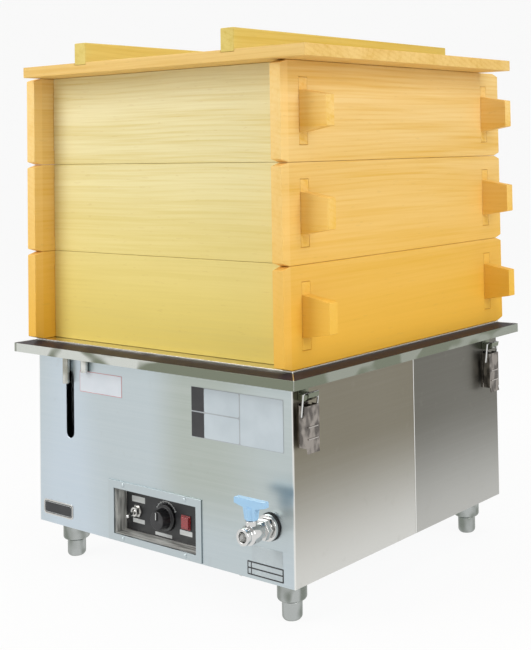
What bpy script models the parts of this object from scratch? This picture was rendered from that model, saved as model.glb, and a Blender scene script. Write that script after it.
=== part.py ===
"""A countertop water-bath steamer: steel cabinet, stacked wooden steam frames and a wooden lid.

Lengths are in metres, +Z is up, the front faces -Y and the floor is at z = 0.
"""

import math

import bmesh
import bpy
from mathutils import Matrix, Vector

# Clearances
GAP = 0.0003
OVERRUN = 0.002

# Cabinet sheet metal
SHEET = 0.0012
CABINET_WIDTH = 0.450
CABINET_DEPTH = 0.422
SEAT_ABOVE_BASE = 0.2385
CASING_SEAM_Y = 0.0146

# Feet and their sockets
FOOT_INSET_X = 0.034
FOOT_INSET_Y = 0.032
FOOT_DIAMETER = 0.0235
FOOT_HEIGHT = 0.022
FOOT_EDGE = 0.0035
FOOT_STEM_DIAMETER = 0.012
FOOT_STEM_LENGTH = 0.020
FOOT_STEM_CHAMFER = 0.001
SOCKET_DIAMETER = 0.034
SOCKET_HEIGHT = 0.026
SOCKET_EDGE = 0.004
SOCKET_WELD = 0.0006

# Rim tray
RIM_OVERHANG = 0.0225
RIM_LIP_BOTTOM = 0.0165
RIM_LIP_TOP = 0.0051
RIM_SLOPE_TOP = 0.0020
SEAT_STEP_OUT_X = 0.003
SEAT_STEP_OUT_Y = 0.0024
MOUTH_INSET_X = 0.022
MOUTH_INSET_Y = 0.039
MOUTH_TURN_DOWN = 0.009

# Latch keepers on the tray
KEEPER_WIDTH = 0.0164
KEEPER_TAB = 0.0018
KEEPER_DROP = 0.034
KEEPER_FLOOR_DROP = 0.0267
KEEPER_LIP_DROP = 0.0240
KEEPER_ROOT_OUT = 0.010
KEEPER_CHIN_OUT = 0.0168
KEEPER_CHIN_RISE = 0.0045
KEEPER_LIP_OUT = 0.0180
KEEPER_LIP_THICKNESS = 0.0014
KEEPER_SEAT_OUT = 0.0162

# Water tank
TANK_FLOOR_ABOVE_BASE = 0.0965
TANK_FLANGE = 0.009

# Control recess
BEZEL_LEFT = -0.0855
BEZEL_RIGHT = 0.080
BEZEL_BOTTOM = 0.0008
BEZEL_TOP = 0.0747
BEZEL_THICKNESS = 0.0013
RECESS_LEFT = -0.075
RECESS_RIGHT = 0.071
RECESS_BOTTOM = 0.0095
RECESS_TOP = 0.0652
RECESS_DEPTH = 0.0195
CONTROL_PLATE_LAP = 0.004
CONTROL_PLATE_THICKNESS = 0.0015
SCREW_HEAD_DIAMETER = 0.0052
SCREW_HEAD_HEIGHT = 0.0012
SCREW_HEAD_DOME = 0.0005
SCREW_INSET_X = 0.0275
SCREW_INSET_Z = 0.0042

# Controls
CONTROL_Z = 0.035
SWITCH_X = -0.054
SWITCH_BUSH_DIAMETER = 0.0115
SWITCH_BUSH_PROUD = 0.0075
SWITCH_BORE_DIAMETER = 0.0066
SWITCH_BORE_DEPTH = 0.0062
SWITCH_NUT_DIAMETER = 0.0160
SWITCH_NUT_THICKNESS = 0.0022
SWITCH_BODY_WIDTH = 0.0135
SWITCH_BODY_HEIGHT = 0.0280
SWITCH_BODY_DEPTH = 0.0200
LEVER_BALL_DIAMETER = 0.0058
LEVER_ROOT_DIAMETER = 0.0030
LEVER_TIP_DIAMETER = 0.0048
LEVER_LENGTH = 0.0150
LEVER_TILT_DEGREES = 13.0
KNOB_X = -0.003
KNOB_SKIRT_DIAMETER = 0.0330
KNOB_SKIRT_HEIGHT = 0.0035
KNOB_GRIP_DIAMETER = 0.0250
KNOB_TOP_DIAMETER = 0.0225
KNOB_HEIGHT = 0.0160
KNOB_EDGE = 0.0012
KNOB_CLEARANCE = 0.0008
KNOB_RIB_WIDTH = 0.0030
KNOB_RIB_PROUD = 0.0012
KNOB_RIB_LENGTH = 0.0100
SHAFT_DIAMETER = 0.0060
SHAFT_LENGTH = 0.0120
THERMOSTAT_SIZE = 0.040
THERMOSTAT_DEPTH = 0.030
LAMP_X = 0.0325
LAMP_WIDTH = 0.0125
LAMP_HEIGHT = 0.0140
LAMP_PROUD = 0.0035
LAMP_FLANGE = 0.0015
LAMP_FLANGE_THICKNESS = 0.0010
LAMP_BODY_DEPTH = 0.0200

# Level gauge behind the sight slot
SLOT_INSET_X = 0.0639
SLOT_WIDTH = 0.0157
SLOT_BOTTOM = 0.115
SLOT_TOP_DROP = 0.0375
GAUGE_DIAMETER = 0.010
GAUGE_WALL = 0.0012
GAUGE_BEHIND_PANEL = 0.0125
GAUGE_LOW_ARM = 0.106
GAUGE_HIGH_ARM_DROP = 0.0255
GAUGE_BEND = 0.010

# Overflow spouts under the rim
SPOUT_DIAMETER = 0.009
SPOUT_WALL = 0.001
LONG_SPOUT_INSET_X = 0.0628
LONG_SPOUT_DROP = 0.0525
SHORT_SPOUT_INSET_X = 0.0991
SHORT_SPOUT_DROP = 0.035
SPOUT_TOP_DROP = 0.0050

# Drain valve and pipe
VALVE_INSET_X = 0.036
VALVE_Z = 0.063
VALVE_REACH = 0.0444
VALVE_AXIS_OUT = 0.030
VALVE_FLANGE_DIAMETER = 0.0295
VALVE_FLANGE_THICKNESS = 0.0040
VALVE_GASKET_THICKNESS = 0.0020
VALVE_GASKET_DIAMETER = 0.0310
VALVE_NECK_DIAMETER = 0.0180
VALVE_HEX_DIAMETER = 0.0245
VALVE_HEX_START = 0.0085
VALVE_HEX_END = 0.0155
VALVE_HOUSING_DIAMETER = 0.0225
VALVE_HOUSING_HALF_LENGTH = 0.0095
VALVE_HOUSING_CHAMFER = 0.0030
VALVE_OUTLET_DIAMETER = 0.0185
VALVE_OUTLET_CHAMFER = 0.0012
VALVE_BORE_DIAMETER = 0.0120
VALVE_SPIGOT_LENGTH = 0.0120
VALVE_NUT_DIAMETER = 0.0260
VALVE_NUT_THICKNESS = 0.0050
VALVE_BONNET_DIAMETER = 0.0130
VALVE_BONNET_HEIGHT = 0.0150
BALL_DIAMETER = 0.0160
BALL_BORE_DIAMETER = 0.0100
STEM_DIAMETER = 0.0070
HANDLE_LENGTH = 0.046
HANDLE_BAR_HEIGHT = 0.0094
HANDLE_THICKNESS = 0.0072
HANDLE_TOP_ABOVE_AXIS = 0.0379
HANDLE_STEM_TOP_WIDTH = 0.0190
HANDLE_STEM_BOTTOM_WIDTH = 0.0140
HANDLE_STEM_HEIGHT = 0.0130
HANDLE_TIP_DROP = 0.0030
HANDLE_SOCKET_DEPTH = 0.0100
HANDLE_EDGE = 0.0008
PIPE_DIAMETER = 0.0160
PIPE_WALL = 0.0015
PIPE_BEHIND_PANEL = 0.061
PIPE_BEND = 0.014
PIPE_ABOVE_TANK_FLOOR = 0.002

# Immersion heater
HEATER_DIAMETER = 0.009
HEATER_ABOVE_FLOOR = 0.022
HEATER_BELOW_FLOOR = 0.016
HEATER_INSET_X = 0.073
HEATER_FRONT_INSET = 0.062
HEATER_REAR_INSET = 0.052
HEATER_BEND = 0.020
HEATER_INNER_HALF_WIDTH = 0.045

# Cord gland
GLAND_INSET_X = 0.075
GLAND_Z = 0.045
GLAND_DIAMETER = 0.026
GLAND_PROUD = 0.0170
GLAND_THREAD_DIAMETER = 0.018
GLAND_BORE_DIAMETER = 0.0090
GLAND_INSIDE = 0.010
GLAND_FLANGE = 0.0060
GLAND_NOSE_DIAMETER = 0.0180

# Draw latches
LATCH_FRONT_INSET = 0.0165
LEFT_LATCH_FRONT_INSET = 0.0400
LATCH_REAR_INSET = 0.0295
LATCH_BASE_WIDTH = 0.0170
LATCH_BASE_BOTTOM_DROP = 0.0855
LATCH_BASE_TOP_DROP = 0.037
LATCH_PIVOT_DROP = 0.0435
LATCH_PIVOT_OUT = 0.0092
LATCH_PIN_DIAMETER = 0.0036
LATCH_EAR_RADIUS = 0.0033
LATCH_EAR_THICKNESS = 0.0012
LATCH_LEVER_WIDTH = 0.0224
LATCH_LEVER_BOTTOM_DROP = 0.0905
LATCH_LEVER_ABOVE_PIVOT = 0.0048
LATCH_LEVER_FACE_OUT = 0.0147
LATCH_LEVER_FLANGE_IN = 0.0048
LATCH_LEVER_CURL = 0.0060
LATCH_WIRE_DIAMETER = 0.0022
LATCH_LOOP_THROW = 0.0072
LATCH_LOOP_TOP_OUT = 0.0125
LATCH_LOOP_BEND = 0.0014

# Steam frames
FRAME_COUNT = 3
FRAME_PITCH = 0.1147
SIDE_BOARD_OUT = 0.0022
SIDE_BOARD_OVERRUN_Y = 0.0149
SIDE_BOARD_THICKNESS = 0.0155
SIDE_BOARD_CHAMFER_LENGTH = 0.012
SIDE_BOARD_CHAMFER_HEIGHT = 0.0037
END_BOARD_RECESS = 0.031
END_BOARD_THICKNESS = 0.0140
EAR_LENGTH = 0.0397
EAR_ROOT_HEIGHT = 0.048
EAR_TIP_HEIGHT = 0.035
TENON_HEIGHT = 0.076
GRATE_BOTTOM = 0.010
GRATE_THICKNESS = 0.008
GRATE_GROOVE = 0.005
GRATE_SLATS = 13
GRATE_SLAT_WIDTH = 0.018
GRATE_BEARER_WIDTH = 0.020
GRATE_BEARER_INSET = 0.0759
GRATE_BEARER_DROP = 0.006
GRATE_SIDE_CLEARANCE = 0.006

# Lid
LID_LEFT_INSET = 0.0095
LID_RIGHT_OVERHANG = 0.0473
LID_FRONT_OVERHANG = 0.0121
LID_REAR_INSET = 0.0429
LID_THICKNESS = 0.0136
BATTEN_WIDTH = 0.021
BATTEN_ABOVE_LID = 0.0247
BATTEN_HOUSING_DEPTH = 0.003
LEFT_BATTEN_INSET = 0.1168
RIGHT_BATTEN_INSET = 0.1159
BATTEN_EDGE = 0.0008

# Segment counts of the round shapes
FINE_STEPS = 20
COARSE_STEPS = 12
ARC_STEPS = 8
TIP_STEPS = 4
HEXAGON_STEPS = 6
WELD_SHARE = 0.01
BEARER_SINK_SHARE = 0.125
STEM_HOLE_DEPTH_SHARE = 0.25
QUARTER_TURN = math.pi / 2

# Derived positions
CABINET_BASE = FOOT_HEIGHT + SOCKET_HEIGHT
HALF_WIDTH = CABINET_WIDTH / 2
HALF_DEPTH = CABINET_DEPTH / 2
FRONT_FACE = -HALF_DEPTH
SEAT_Z = CABINET_BASE + SEAT_ABOVE_BASE
CASING_TOP = SEAT_Z - SHEET - GAP
MOUTH_HALF_WIDTH = HALF_WIDTH - MOUTH_INSET_X
MOUTH_HALF_DEPTH = HALF_DEPTH - MOUTH_INSET_Y
TANK_FLOOR_Z = CABINET_BASE + TANK_FLOOR_ABOVE_BASE
TANK_HALF_WIDTH = MOUTH_HALF_WIDTH + SHEET + GAP
TANK_HALF_DEPTH = MOUTH_HALF_DEPTH + SHEET + GAP
SLOT_X = SLOT_INSET_X - HALF_WIDTH
SLOT_TOP = SEAT_ABOVE_BASE - SLOT_TOP_DROP
GAUGE_HIGH_ARM = SEAT_ABOVE_BASE - GAUGE_HIGH_ARM_DROP
VALVE_X = HALF_WIDTH - VALVE_INSET_X
PIPE_Y = FRONT_FACE + PIPE_BEHIND_PANEL
HEATER_HALF_WIDTH = MOUTH_HALF_WIDTH - HEATER_INSET_X
HEATER_FRONT_Y = HEATER_FRONT_INSET - MOUTH_HALF_DEPTH
HEATER_REAR_Y = MOUTH_HALF_DEPTH - HEATER_REAR_INSET
GLAND_X = GLAND_INSET_X - HALF_WIDTH
LATCH_FRONT_Y = LATCH_FRONT_INSET - HALF_DEPTH
LEFT_LATCH_FRONT_Y = LEFT_LATCH_FRONT_INSET - HALF_DEPTH
LATCH_REAR_Y = HALF_DEPTH - LATCH_REAR_INSET
LATCH_PIVOT_Z = SEAT_ABOVE_BASE - LATCH_PIVOT_DROP
SIDE_BOARD_FACE_X = HALF_WIDTH + SIDE_BOARD_OUT
FRAME_HALF_LENGTH = HALF_DEPTH + SIDE_BOARD_OVERRUN_Y
FRAME_HEIGHT = FRAME_PITCH - GAP
STACK_BASE = SEAT_Z + GAP
LID_LEFT = LID_LEFT_INSET - SIDE_BOARD_FACE_X
LID_RIGHT = SIDE_BOARD_FACE_X + LID_RIGHT_OVERHANG
LID_FRONT = -FRAME_HALF_LENGTH - LID_FRONT_OVERHANG
LID_REAR = FRAME_HALF_LENGTH - LID_REAR_INSET

# The origin is under the middle of the whole outline
RIGHT_REACH = LID_RIGHT
LEFT_REACH = SIDE_BOARD_FACE_X + EAR_LENGTH
FRONT_REACH = HALF_DEPTH + VALVE_REACH
REAR_REACH = HALF_DEPTH + RIM_OVERHANG
ORIGIN_X = (RIGHT_REACH - LEFT_REACH) / 2
ORIGIN_Y = (REAR_REACH - FRONT_REACH) / 2

# Finishes: colour, roughness and metallic
FINISHES = {
    "steel_sheet": ((0.62, 0.65, 0.66), 0.34, 1.0),
    "steel_polished": ((0.78, 0.79, 0.80), 0.16, 1.0),
    "steel_rim": ((0.50, 0.50, 0.48), 0.24, 1.0),
    "chrome_plate": ((0.82, 0.83, 0.84), 0.10, 1.0),
    "black_panel": ((0.020, 0.021, 0.023), 0.38, 0.0),
    "black_plastic": ((0.018, 0.018, 0.020), 0.32, 0.0),
    "black_rubber": ((0.025, 0.025, 0.026), 0.70, 0.0),
    "red_lens": ((0.55, 0.03, 0.03), 0.18, 0.0),
    "blue_plastic": ((0.30, 0.55, 0.80), 0.30, 0.0),
    "clear_glass": ((0.80, 0.86, 0.86), 0.05, 0.0),
    "heater_steel": ((0.36, 0.34, 0.32), 0.40, 1.0),
    "side_wood": ((0.86, 0.55, 0.22), 0.55, 0.0),
    "front_wood": ((0.88, 0.70, 0.38), 0.55, 0.0),
    "grate_wood": ((0.84, 0.62, 0.32), 0.60, 0.0),
    "lid_wood": ((0.88, 0.66, 0.34), 0.55, 0.0),
}

PARTS = bpy.data.collections.new("food_steamer")
CUTTERS = bpy.data.collections.new("cutters")


def clear_scene():
    """Empties the file and links the two collections."""
    for leftover in list(bpy.data.objects):
        bpy.data.objects.remove(leftover, do_unlink=True)
    bpy.context.scene.collection.children.link(PARTS)
    bpy.context.scene.collection.children.link(CUTTERS)


def finish_of(slot):
    """Gives the material of a slot, made on its first use."""
    material = bpy.data.materials.get(slot)
    if material is None:
        colour, roughness, metallic = FINISHES[slot]
        material = bpy.data.materials.new(slot)
        material.use_nodes = True
        shader = material.node_tree.nodes["Principled BSDF"]
        shader.inputs["Base Color"].default_value = (*colour, 1.0)
        shader.inputs["Roughness"].default_value = roughness
        shader.inputs["Metallic"].default_value = metallic
    return material


def add_empty(name, location, parent=None):
    """An empty that carries other pieces."""
    empty = bpy.data.objects.new(name, None)
    empty.location = location
    empty.parent = parent
    PARTS.objects.link(empty)
    return empty


def add_part(name, mesh, slot, parent, location=(0, 0, 0), turn=(0, 0, 0), smooth=False):
    """Puts a mesh into the object as a named sub-part."""
    mesh.name = name
    part = bpy.data.objects.new(name, mesh)
    part.location = location
    part.rotation_euler = turn
    part.parent = parent
    PARTS.objects.link(part)
    mesh.materials.clear()
    mesh.materials.append(finish_of(slot))
    if smooth:
        mesh.shade_smooth()
        mesh.set_sharp_from_angle(angle=math.radians(35))
    return part


def add_cutter(name, mesh, parent, location=(0, 0, 0), turn=(0, 0, 0)):
    """A helper shape for a Boolean, hidden in the render."""
    cutter = bpy.data.objects.new(name, mesh)
    cutter.location = location
    cutter.rotation_euler = turn
    cutter.parent = parent
    cutter.hide_render = True
    cutter.display_type = "WIRE"
    CUTTERS.objects.link(cutter)
    return cutter


def combine(part, helper, operation):
    """Adds, or takes away, a helper shape."""
    step = part.modifiers.new(helper.name, "BOOLEAN")
    step.operation = operation
    step.object = helper
    step.solver = "EXACT"


def block_mesh(pairs):
    """Boxes from pairs of a low and a high corner."""
    sheet = bmesh.new()
    for low, high in pairs:
        size = Vector(high) - Vector(low)
        middle = (Vector(high) + Vector(low)) / 2
        placed = Matrix.Translation(middle) @ Matrix.Diagonal(size).to_4x4()
        bmesh.ops.create_cube(sheet, size=1.0, matrix=placed)
    mesh = bpy.data.meshes.new("block")
    sheet.to_mesh(mesh)
    sheet.free()
    return mesh


def mesh_of_curve(curve):
    """The finished mesh of a curve, with its caps welded to its sides."""
    carrier = bpy.data.objects.new("curve_carrier", curve)
    bpy.context.scene.collection.objects.link(carrier)
    graph = bpy.context.evaluated_depsgraph_get()
    mesh = bpy.data.meshes.new_from_object(carrier.evaluated_get(graph))
    bpy.data.objects.remove(carrier, do_unlink=True)
    bpy.data.curves.remove(curve)
    sheet = bmesh.new()
    sheet.from_mesh(mesh)
    bmesh.ops.remove_doubles(sheet, verts=sheet.verts, dist=GAP * WELD_SHARE)
    bmesh.ops.recalc_face_normals(sheet, faces=sheet.faces)
    sheet.to_mesh(mesh)
    sheet.free()
    return mesh


def plate_mesh(outlines, thickness):
    """A flat plate from closed outlines in the XY plane, centred on z = 0."""
    curve = bpy.data.curves.new("outline", "CURVE")
    curve.dimensions = "2D"
    curve.fill_mode = "BOTH"
    curve.extrude = thickness / 2
    for outline in outlines:
        line = curve.splines.new("POLY")
        line.points.add(len(outline) - 1)
        for point, (x, y) in zip(line.points, outline):
            point.co = (x, y, 0.0, 1.0)
        line.use_cyclic_u = True
    mesh = mesh_of_curve(curve)
    sheet = bmesh.new()
    sheet.from_mesh(mesh)
    flat = math.radians(0.01)
    bmesh.ops.dissolve_limit(sheet, angle_limit=flat, verts=sheet.verts, edges=sheet.edges)
    sheet.to_mesh(mesh)
    sheet.free()
    return mesh


def wire_mesh(points, diameter, closed=False):
    """A round bar along a line of points."""
    curve = bpy.data.curves.new("wire", "CURVE")
    curve.dimensions = "3D"
    curve.bevel_depth = diameter / 2
    curve.bevel_resolution = 2
    curve.use_fill_caps = not closed
    line = curve.splines.new("POLY")
    line.points.add(len(points) - 1)
    for point, place in zip(line.points, points):
        point.co = (*place, 1.0)
    line.use_cyclic_u = closed
    return mesh_of_curve(curve)


def rounded_path(corners, radius, steps=4, closed=False):
    """The corners of a path, each inner one replaced by an arc of the given radius."""
    corners = [Vector(corner) for corner in corners]
    count = len(corners)
    path = []
    for index, corner in enumerate(corners):
        if not closed and index in (0, count - 1):
            path.append(tuple(corner))
            continue
        back = (corners[index - 1] - corner).normalized()
        ahead = (corners[(index + 1) % count] - corner).normalized()
        half = back.angle(ahead) / 2
        reach = radius / math.tan(half)
        middle = corner + (back + ahead).normalized() * (radius / math.sin(half))
        start = corner + back * reach - middle
        end = corner + ahead * reach - middle
        sweep = start.angle(end)
        for step in range(steps + 1):
            share = step / steps
            weight = math.sin((1 - share) * sweep) / math.sin(sweep)
            other = math.sin(share * sweep) / math.sin(sweep)
            path.append(tuple(middle + start * weight + end * other))
    return path


def turned_mesh(profile, steps=FINE_STEPS, closed=False):
    """A turned shape about Z from a profile of (radius, z) that runs down its outer side."""
    mesh = bpy.data.meshes.new("profile")
    count = len(profile)
    edges = [(index, index + 1) for index in range(count - 1)]
    if closed:
        edges.append((count - 1, 0))
    mesh.from_pydata([(radius, 0.0, z) for radius, z in profile], edges, [])
    carrier = bpy.data.objects.new("turning", mesh)
    bpy.context.scene.collection.objects.link(carrier)
    screw = carrier.modifiers.new("turn", "SCREW")
    screw.axis = "Z"
    screw.steps = steps
    screw.render_steps = steps
    screw.use_merge_vertices = True
    screw.merge_threshold = GAP * WELD_SHARE
    screw.use_normal_calculate = True
    graph = bpy.context.evaluated_depsgraph_get()
    result = bpy.data.meshes.new_from_object(carrier.evaluated_get(graph))
    bpy.data.objects.remove(carrier, do_unlink=True)
    bpy.data.meshes.remove(mesh)
    sheet = bmesh.new()
    sheet.from_mesh(result)
    bmesh.ops.remove_doubles(sheet, verts=sheet.verts, dist=GAP * WELD_SHARE)
    bmesh.ops.recalc_face_normals(sheet, faces=sheet.faces)
    sheet.to_mesh(result)
    sheet.free()
    return result


def stepped_frame_mesh(loops, ring):
    """A mitred sheet shape from rectangles (low x, high x, low y, high y, z), joined one to the next.

    As a ring the last rectangle joins the first; otherwise the first and last are filled.
    """
    corners = []
    for left, right, front, rear, z in loops:
        corners += [(left, front, z), (right, front, z), (right, rear, z), (left, rear, z)]
    count = len(loops)
    faces = []
    for level in range(count if ring else count - 1):
        here = 4 * level
        there = 4 * ((level + 1) % count)
        for side in range(4):
            following = (side + 1) % 4
            faces.append((here + side, here + following, there + following, there + side))
    if not ring:
        faces.append((0, 1, 2, 3))
        last = 4 * (count - 1)
        faces.append((last, last + 1, last + 2, last + 3))
    mesh = bpy.data.meshes.new("stepped_frame")
    mesh.from_pydata(corners, [], faces)
    sheet = bmesh.new()
    sheet.from_mesh(mesh)
    bmesh.ops.recalc_face_normals(sheet, faces=sheet.faces)
    sheet.to_mesh(mesh)
    sheet.free()
    return mesh


def mitred_side_mesh(rows):
    """One side of a mitred sheet ring, from (half length, distance out, z); its outside faces -Y.

    The rows run along one face of the sheet and back along the other, so they pair from both ends.
    """
    count = len(rows)
    corners = []
    for half, out, z in rows:
        corners += [(-half, -out, z), (half, -out, z)]
    faces = []
    for row in range(count):
        here = 2 * row
        there = 2 * ((row + 1) % count)
        faces.append((here, here + 1, there + 1, there))
    for row in range(count // 2 - 1):
        ahead = 2 * (row + 1)
        across = 2 * (count - 2 - row)
        back = 2 * (count - 1 - row)
        for end in (0, 1):
            faces.append((2 * row + end, ahead + end, across + end, back + end))
    mesh = bpy.data.meshes.new("mitred_side")
    mesh.from_pydata(corners, [], faces)
    sheet = bmesh.new()
    sheet.from_mesh(mesh)
    bmesh.ops.recalc_face_normals(sheet, faces=sheet.faces)
    sheet.to_mesh(mesh)
    sheet.free()
    return mesh


def centred_loops(rows):
    """Rectangles centred on the Z axis, from (half width, half depth, z)."""
    return [(-wide, wide, -deep, deep, z) for wide, deep, z in rows]


def joined(meshes_and_places):
    """One mesh from several, each moved to its place."""
    sheet = bmesh.new()
    for mesh, place in meshes_and_places:
        copy = mesh.copy()
        copy.transform(place)
        sheet.from_mesh(copy)
        bpy.data.meshes.remove(copy)
    result = bpy.data.meshes.new("joined")
    sheet.to_mesh(result)
    sheet.free()
    return result


def build_casings(cabinet):
    """The front casing wraps the front and half of each side; the rear casing does the rest."""
    outer = HALF_WIDTH
    inner = HALF_WIDTH - SHEET
    height = CASING_TOP - CABINET_BASE
    middle = (0, 0, CABINET_BASE + height / 2)
    for name, face, seam in (
        ("front_casing", -HALF_DEPTH, CASING_SEAM_Y - GAP / 2),
        ("rear_casing", HALF_DEPTH, CASING_SEAM_Y + GAP / 2),
    ):
        inside = face + math.copysign(SHEET, seam - face)
        outline = [
            (-outer, face),
            (outer, face),
            (outer, seam),
            (inner, seam),
            (inner, inside),
            (-inner, inside),
            (-inner, seam),
            (-outer, seam),
        ]
        casing = add_part(name, plate_mesh([outline], height), "steel_sheet", cabinet, middle)
        if name == "front_casing":
            cut_front_panel(casing, cabinet)
        else:
            hole = turned_hole(GLAND_THREAD_DIAMETER / 2 + GAP, SHEET + 2 * OVERRUN)
            place = (GLAND_X, HALF_DEPTH - SHEET / 2, CABINET_BASE + GLAND_Z)
            cutter = add_cutter("gland_hole", hole, cabinet, place, (QUARTER_TURN, 0, 0))
            combine(casing, cutter, "DIFFERENCE")


def turned_hole(radius, length, steps=FINE_STEPS):
    """A plain cylinder centred on the origin, along Z."""
    profile = [(0, length / 2), (radius, length / 2), (radius, -length / 2), (0, -length / 2)]
    return turned_mesh(profile, steps)


def cut_front_panel(casing, cabinet):
    """The sight slot, the opening of the control recess and the hole of the drain valve."""
    depth = SHEET + 2 * OVERRUN
    panel_y = FRONT_FACE + SHEET / 2
    facing = (QUARTER_TURN, 0, 0)
    radius = SLOT_WIDTH / 2
    half = (SLOT_TOP - SLOT_BOTTOM) / 2 - radius
    outline = []
    for step in range(COARSE_STEPS + 1):
        angle = math.pi * step / COARSE_STEPS
        outline.append((radius * math.cos(angle), half + radius * math.sin(angle)))
    for step in range(COARSE_STEPS + 1):
        angle = math.pi * step / COARSE_STEPS
        outline.append((-radius * math.cos(angle), -half - radius * math.sin(angle)))
    place = (SLOT_X, panel_y, CABINET_BASE + (SLOT_TOP + SLOT_BOTTOM) / 2)
    slot_cutter = add_cutter("sight_slot", plate_mesh([outline], depth), cabinet, place, facing)
    combine(casing, slot_cutter, "DIFFERENCE")
    room = SHEET + GAP
    low = (RECESS_LEFT - room, panel_y - depth / 2, CABINET_BASE + RECESS_BOTTOM - room)
    high = (RECESS_RIGHT + room, panel_y + depth / 2, CABINET_BASE + RECESS_TOP + room)
    combine(casing, add_cutter("recess_opening", block_mesh([(low, high)]), cabinet), "DIFFERENCE")
    hole = turned_hole(VALVE_NECK_DIAMETER / 2 + GAP, depth)
    place = (VALVE_X, panel_y, CABINET_BASE + VALVE_Z)
    combine(casing, add_cutter("valve_hole", hole, cabinet, place, facing), "DIFFERENCE")


def foot_places():
    """Names and centres of the four feet."""
    x = HALF_WIDTH - FOOT_INSET_X
    y = HALF_DEPTH - FOOT_INSET_Y
    return {
        "front_left": (-x, -y),
        "front_right": (x, -y),
        "rear_left": (-x, y),
        "rear_right": (x, y),
    }


def build_base_plate(cabinet):
    """The floor of the cabinet with its four welded foot sockets, bored for the foot stems."""
    wide = HALF_WIDTH - SHEET - GAP
    deep = HALF_DEPTH - SHEET - GAP
    low = (-wide, -deep, CABINET_BASE)
    high = (wide, deep, CABINET_BASE + SHEET)
    plate = add_part("base_plate", block_mesh([(low, high)]), "steel_sheet", cabinet)
    radius = SOCKET_DIAMETER / 2
    top = CABINET_BASE + SOCKET_WELD
    bottom = FOOT_HEIGHT + GAP
    rounding = edge_arc(radius, bottom, SOCKET_EDGE)
    collar = turned_mesh([(0, top), (radius, top)] + rounding + [(0, bottom)])
    bore = turned_hole(FOOT_STEM_DIAMETER / 2 + GAP, 2 * (FOOT_STEM_LENGTH + OVERRUN), COARSE_STEPS)
    places = [Matrix.Translation((x, y, 0)) for x, y in foot_places().values()]
    combine(plate, add_cutter("sockets", joined([(collar, place) for place in places]), cabinet), "UNION")
    lift = Matrix.Translation((0, 0, FOOT_HEIGHT))
    lifted_bores = joined([(bore, place @ lift) for place in places])
    combine(plate, add_cutter("socket_bores", lifted_bores, cabinet), "DIFFERENCE")


def edge_arc(radius, bottom, rounding, steps=4):
    """Points of a rounded lower outer edge of a turned shape, from its side to its underside."""
    points = []
    for step in range(steps + 1):
        angle = QUARTER_TURN * step / steps
        out = radius - rounding + rounding * math.cos(angle)
        points.append((out, bottom + rounding - rounding * math.sin(angle)))
    return points


def build_feet(cabinet):
    """Four screw feet, each with its stem up in its socket."""
    radius = FOOT_DIAMETER / 2
    stem = FOOT_STEM_DIAMETER / 2
    top = FOOT_HEIGHT + FOOT_STEM_LENGTH
    chamfer = FOOT_STEM_CHAMFER
    profile = [
        (0, top),
        (stem - chamfer, top),
        (stem, top - chamfer),
        (stem, FOOT_HEIGHT),
        (radius, FOOT_HEIGHT),
    ]
    profile += edge_arc(radius, 0, FOOT_EDGE) + [(0, 0)]
    for name, (x, y) in foot_places().items():
        add_part("foot_" + name, turned_mesh(profile), "steel_polished", cabinet, (x, y, 0), smooth=True)


def build_rim_tray(cabinet):
    """The top tray in four mitred sections: outer lip, sloping flange, seat and turned-down mouth."""
    step_x = HALF_WIDTH + SEAT_STEP_OUT_X
    step_y = HALF_DEPTH + SEAT_STEP_OUT_Y
    lip_x = HALF_WIDTH + RIM_OVERHANG
    lip_y = HALF_DEPTH + RIM_OVERHANG
    lip_bottom = SEAT_Z - RIM_LIP_BOTTOM
    lip_top = SEAT_Z - RIM_LIP_TOP
    slope_top = SEAT_Z - RIM_SLOPE_TOP
    mouth_bottom = SEAT_Z - MOUTH_TURN_DOWN
    wide = MOUTH_HALF_WIDTH
    deep = MOUTH_HALF_DEPTH
    rows = [
        (lip_x, lip_y, lip_bottom),
        (lip_x, lip_y, lip_top),
        (step_x, step_y, slope_top),
        (step_x, step_y, SEAT_Z),
        (wide, deep, SEAT_Z),
        (wide, deep, mouth_bottom),
        (wide + SHEET, deep + SHEET, mouth_bottom),
        (wide + SHEET, deep + SHEET, SEAT_Z - SHEET),
        (step_x - SHEET, step_y - SHEET, SEAT_Z - SHEET),
        (step_x - SHEET, step_y - SHEET, slope_top - SHEET),
        (lip_x - SHEET, lip_y - SHEET, lip_top - SHEET),
        (lip_x - SHEET, lip_y - SHEET, lip_bottom),
    ]
    front_rows = [(row_x - GAP, row_y, z) for row_x, row_y, z in rows]
    side_rows = [(row_y - GAP, row_x, z) for row_x, row_y, z in rows]
    sections = (
        ("rim_front", front_rows, 0),
        ("rim_right", side_rows, QUARTER_TURN),
        ("rim_rear", front_rows, 2 * QUARTER_TURN),
        ("rim_left", side_rows, -QUARTER_TURN),
    )
    for name, section_rows, angle in sections:
        mesh = mitred_side_mesh(section_rows)
        section = add_part(name, mesh, "steel_rim", cabinet, (0, 0, 0), (0, 0, angle))
        if section_rows is side_rows:
            side = math.copysign(1, angle)
            for _, y in latch_places(side):
                weld_keeper(section, name, side, y, cabinet)


def latch_places(side):
    """Name and y of the two latches on a side; the left front latch sits further back."""
    front = LATCH_FRONT_Y if side > 0 else LEFT_LATCH_FRONT_Y
    return ("front_", front), ("rear_", LATCH_REAR_Y)


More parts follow.
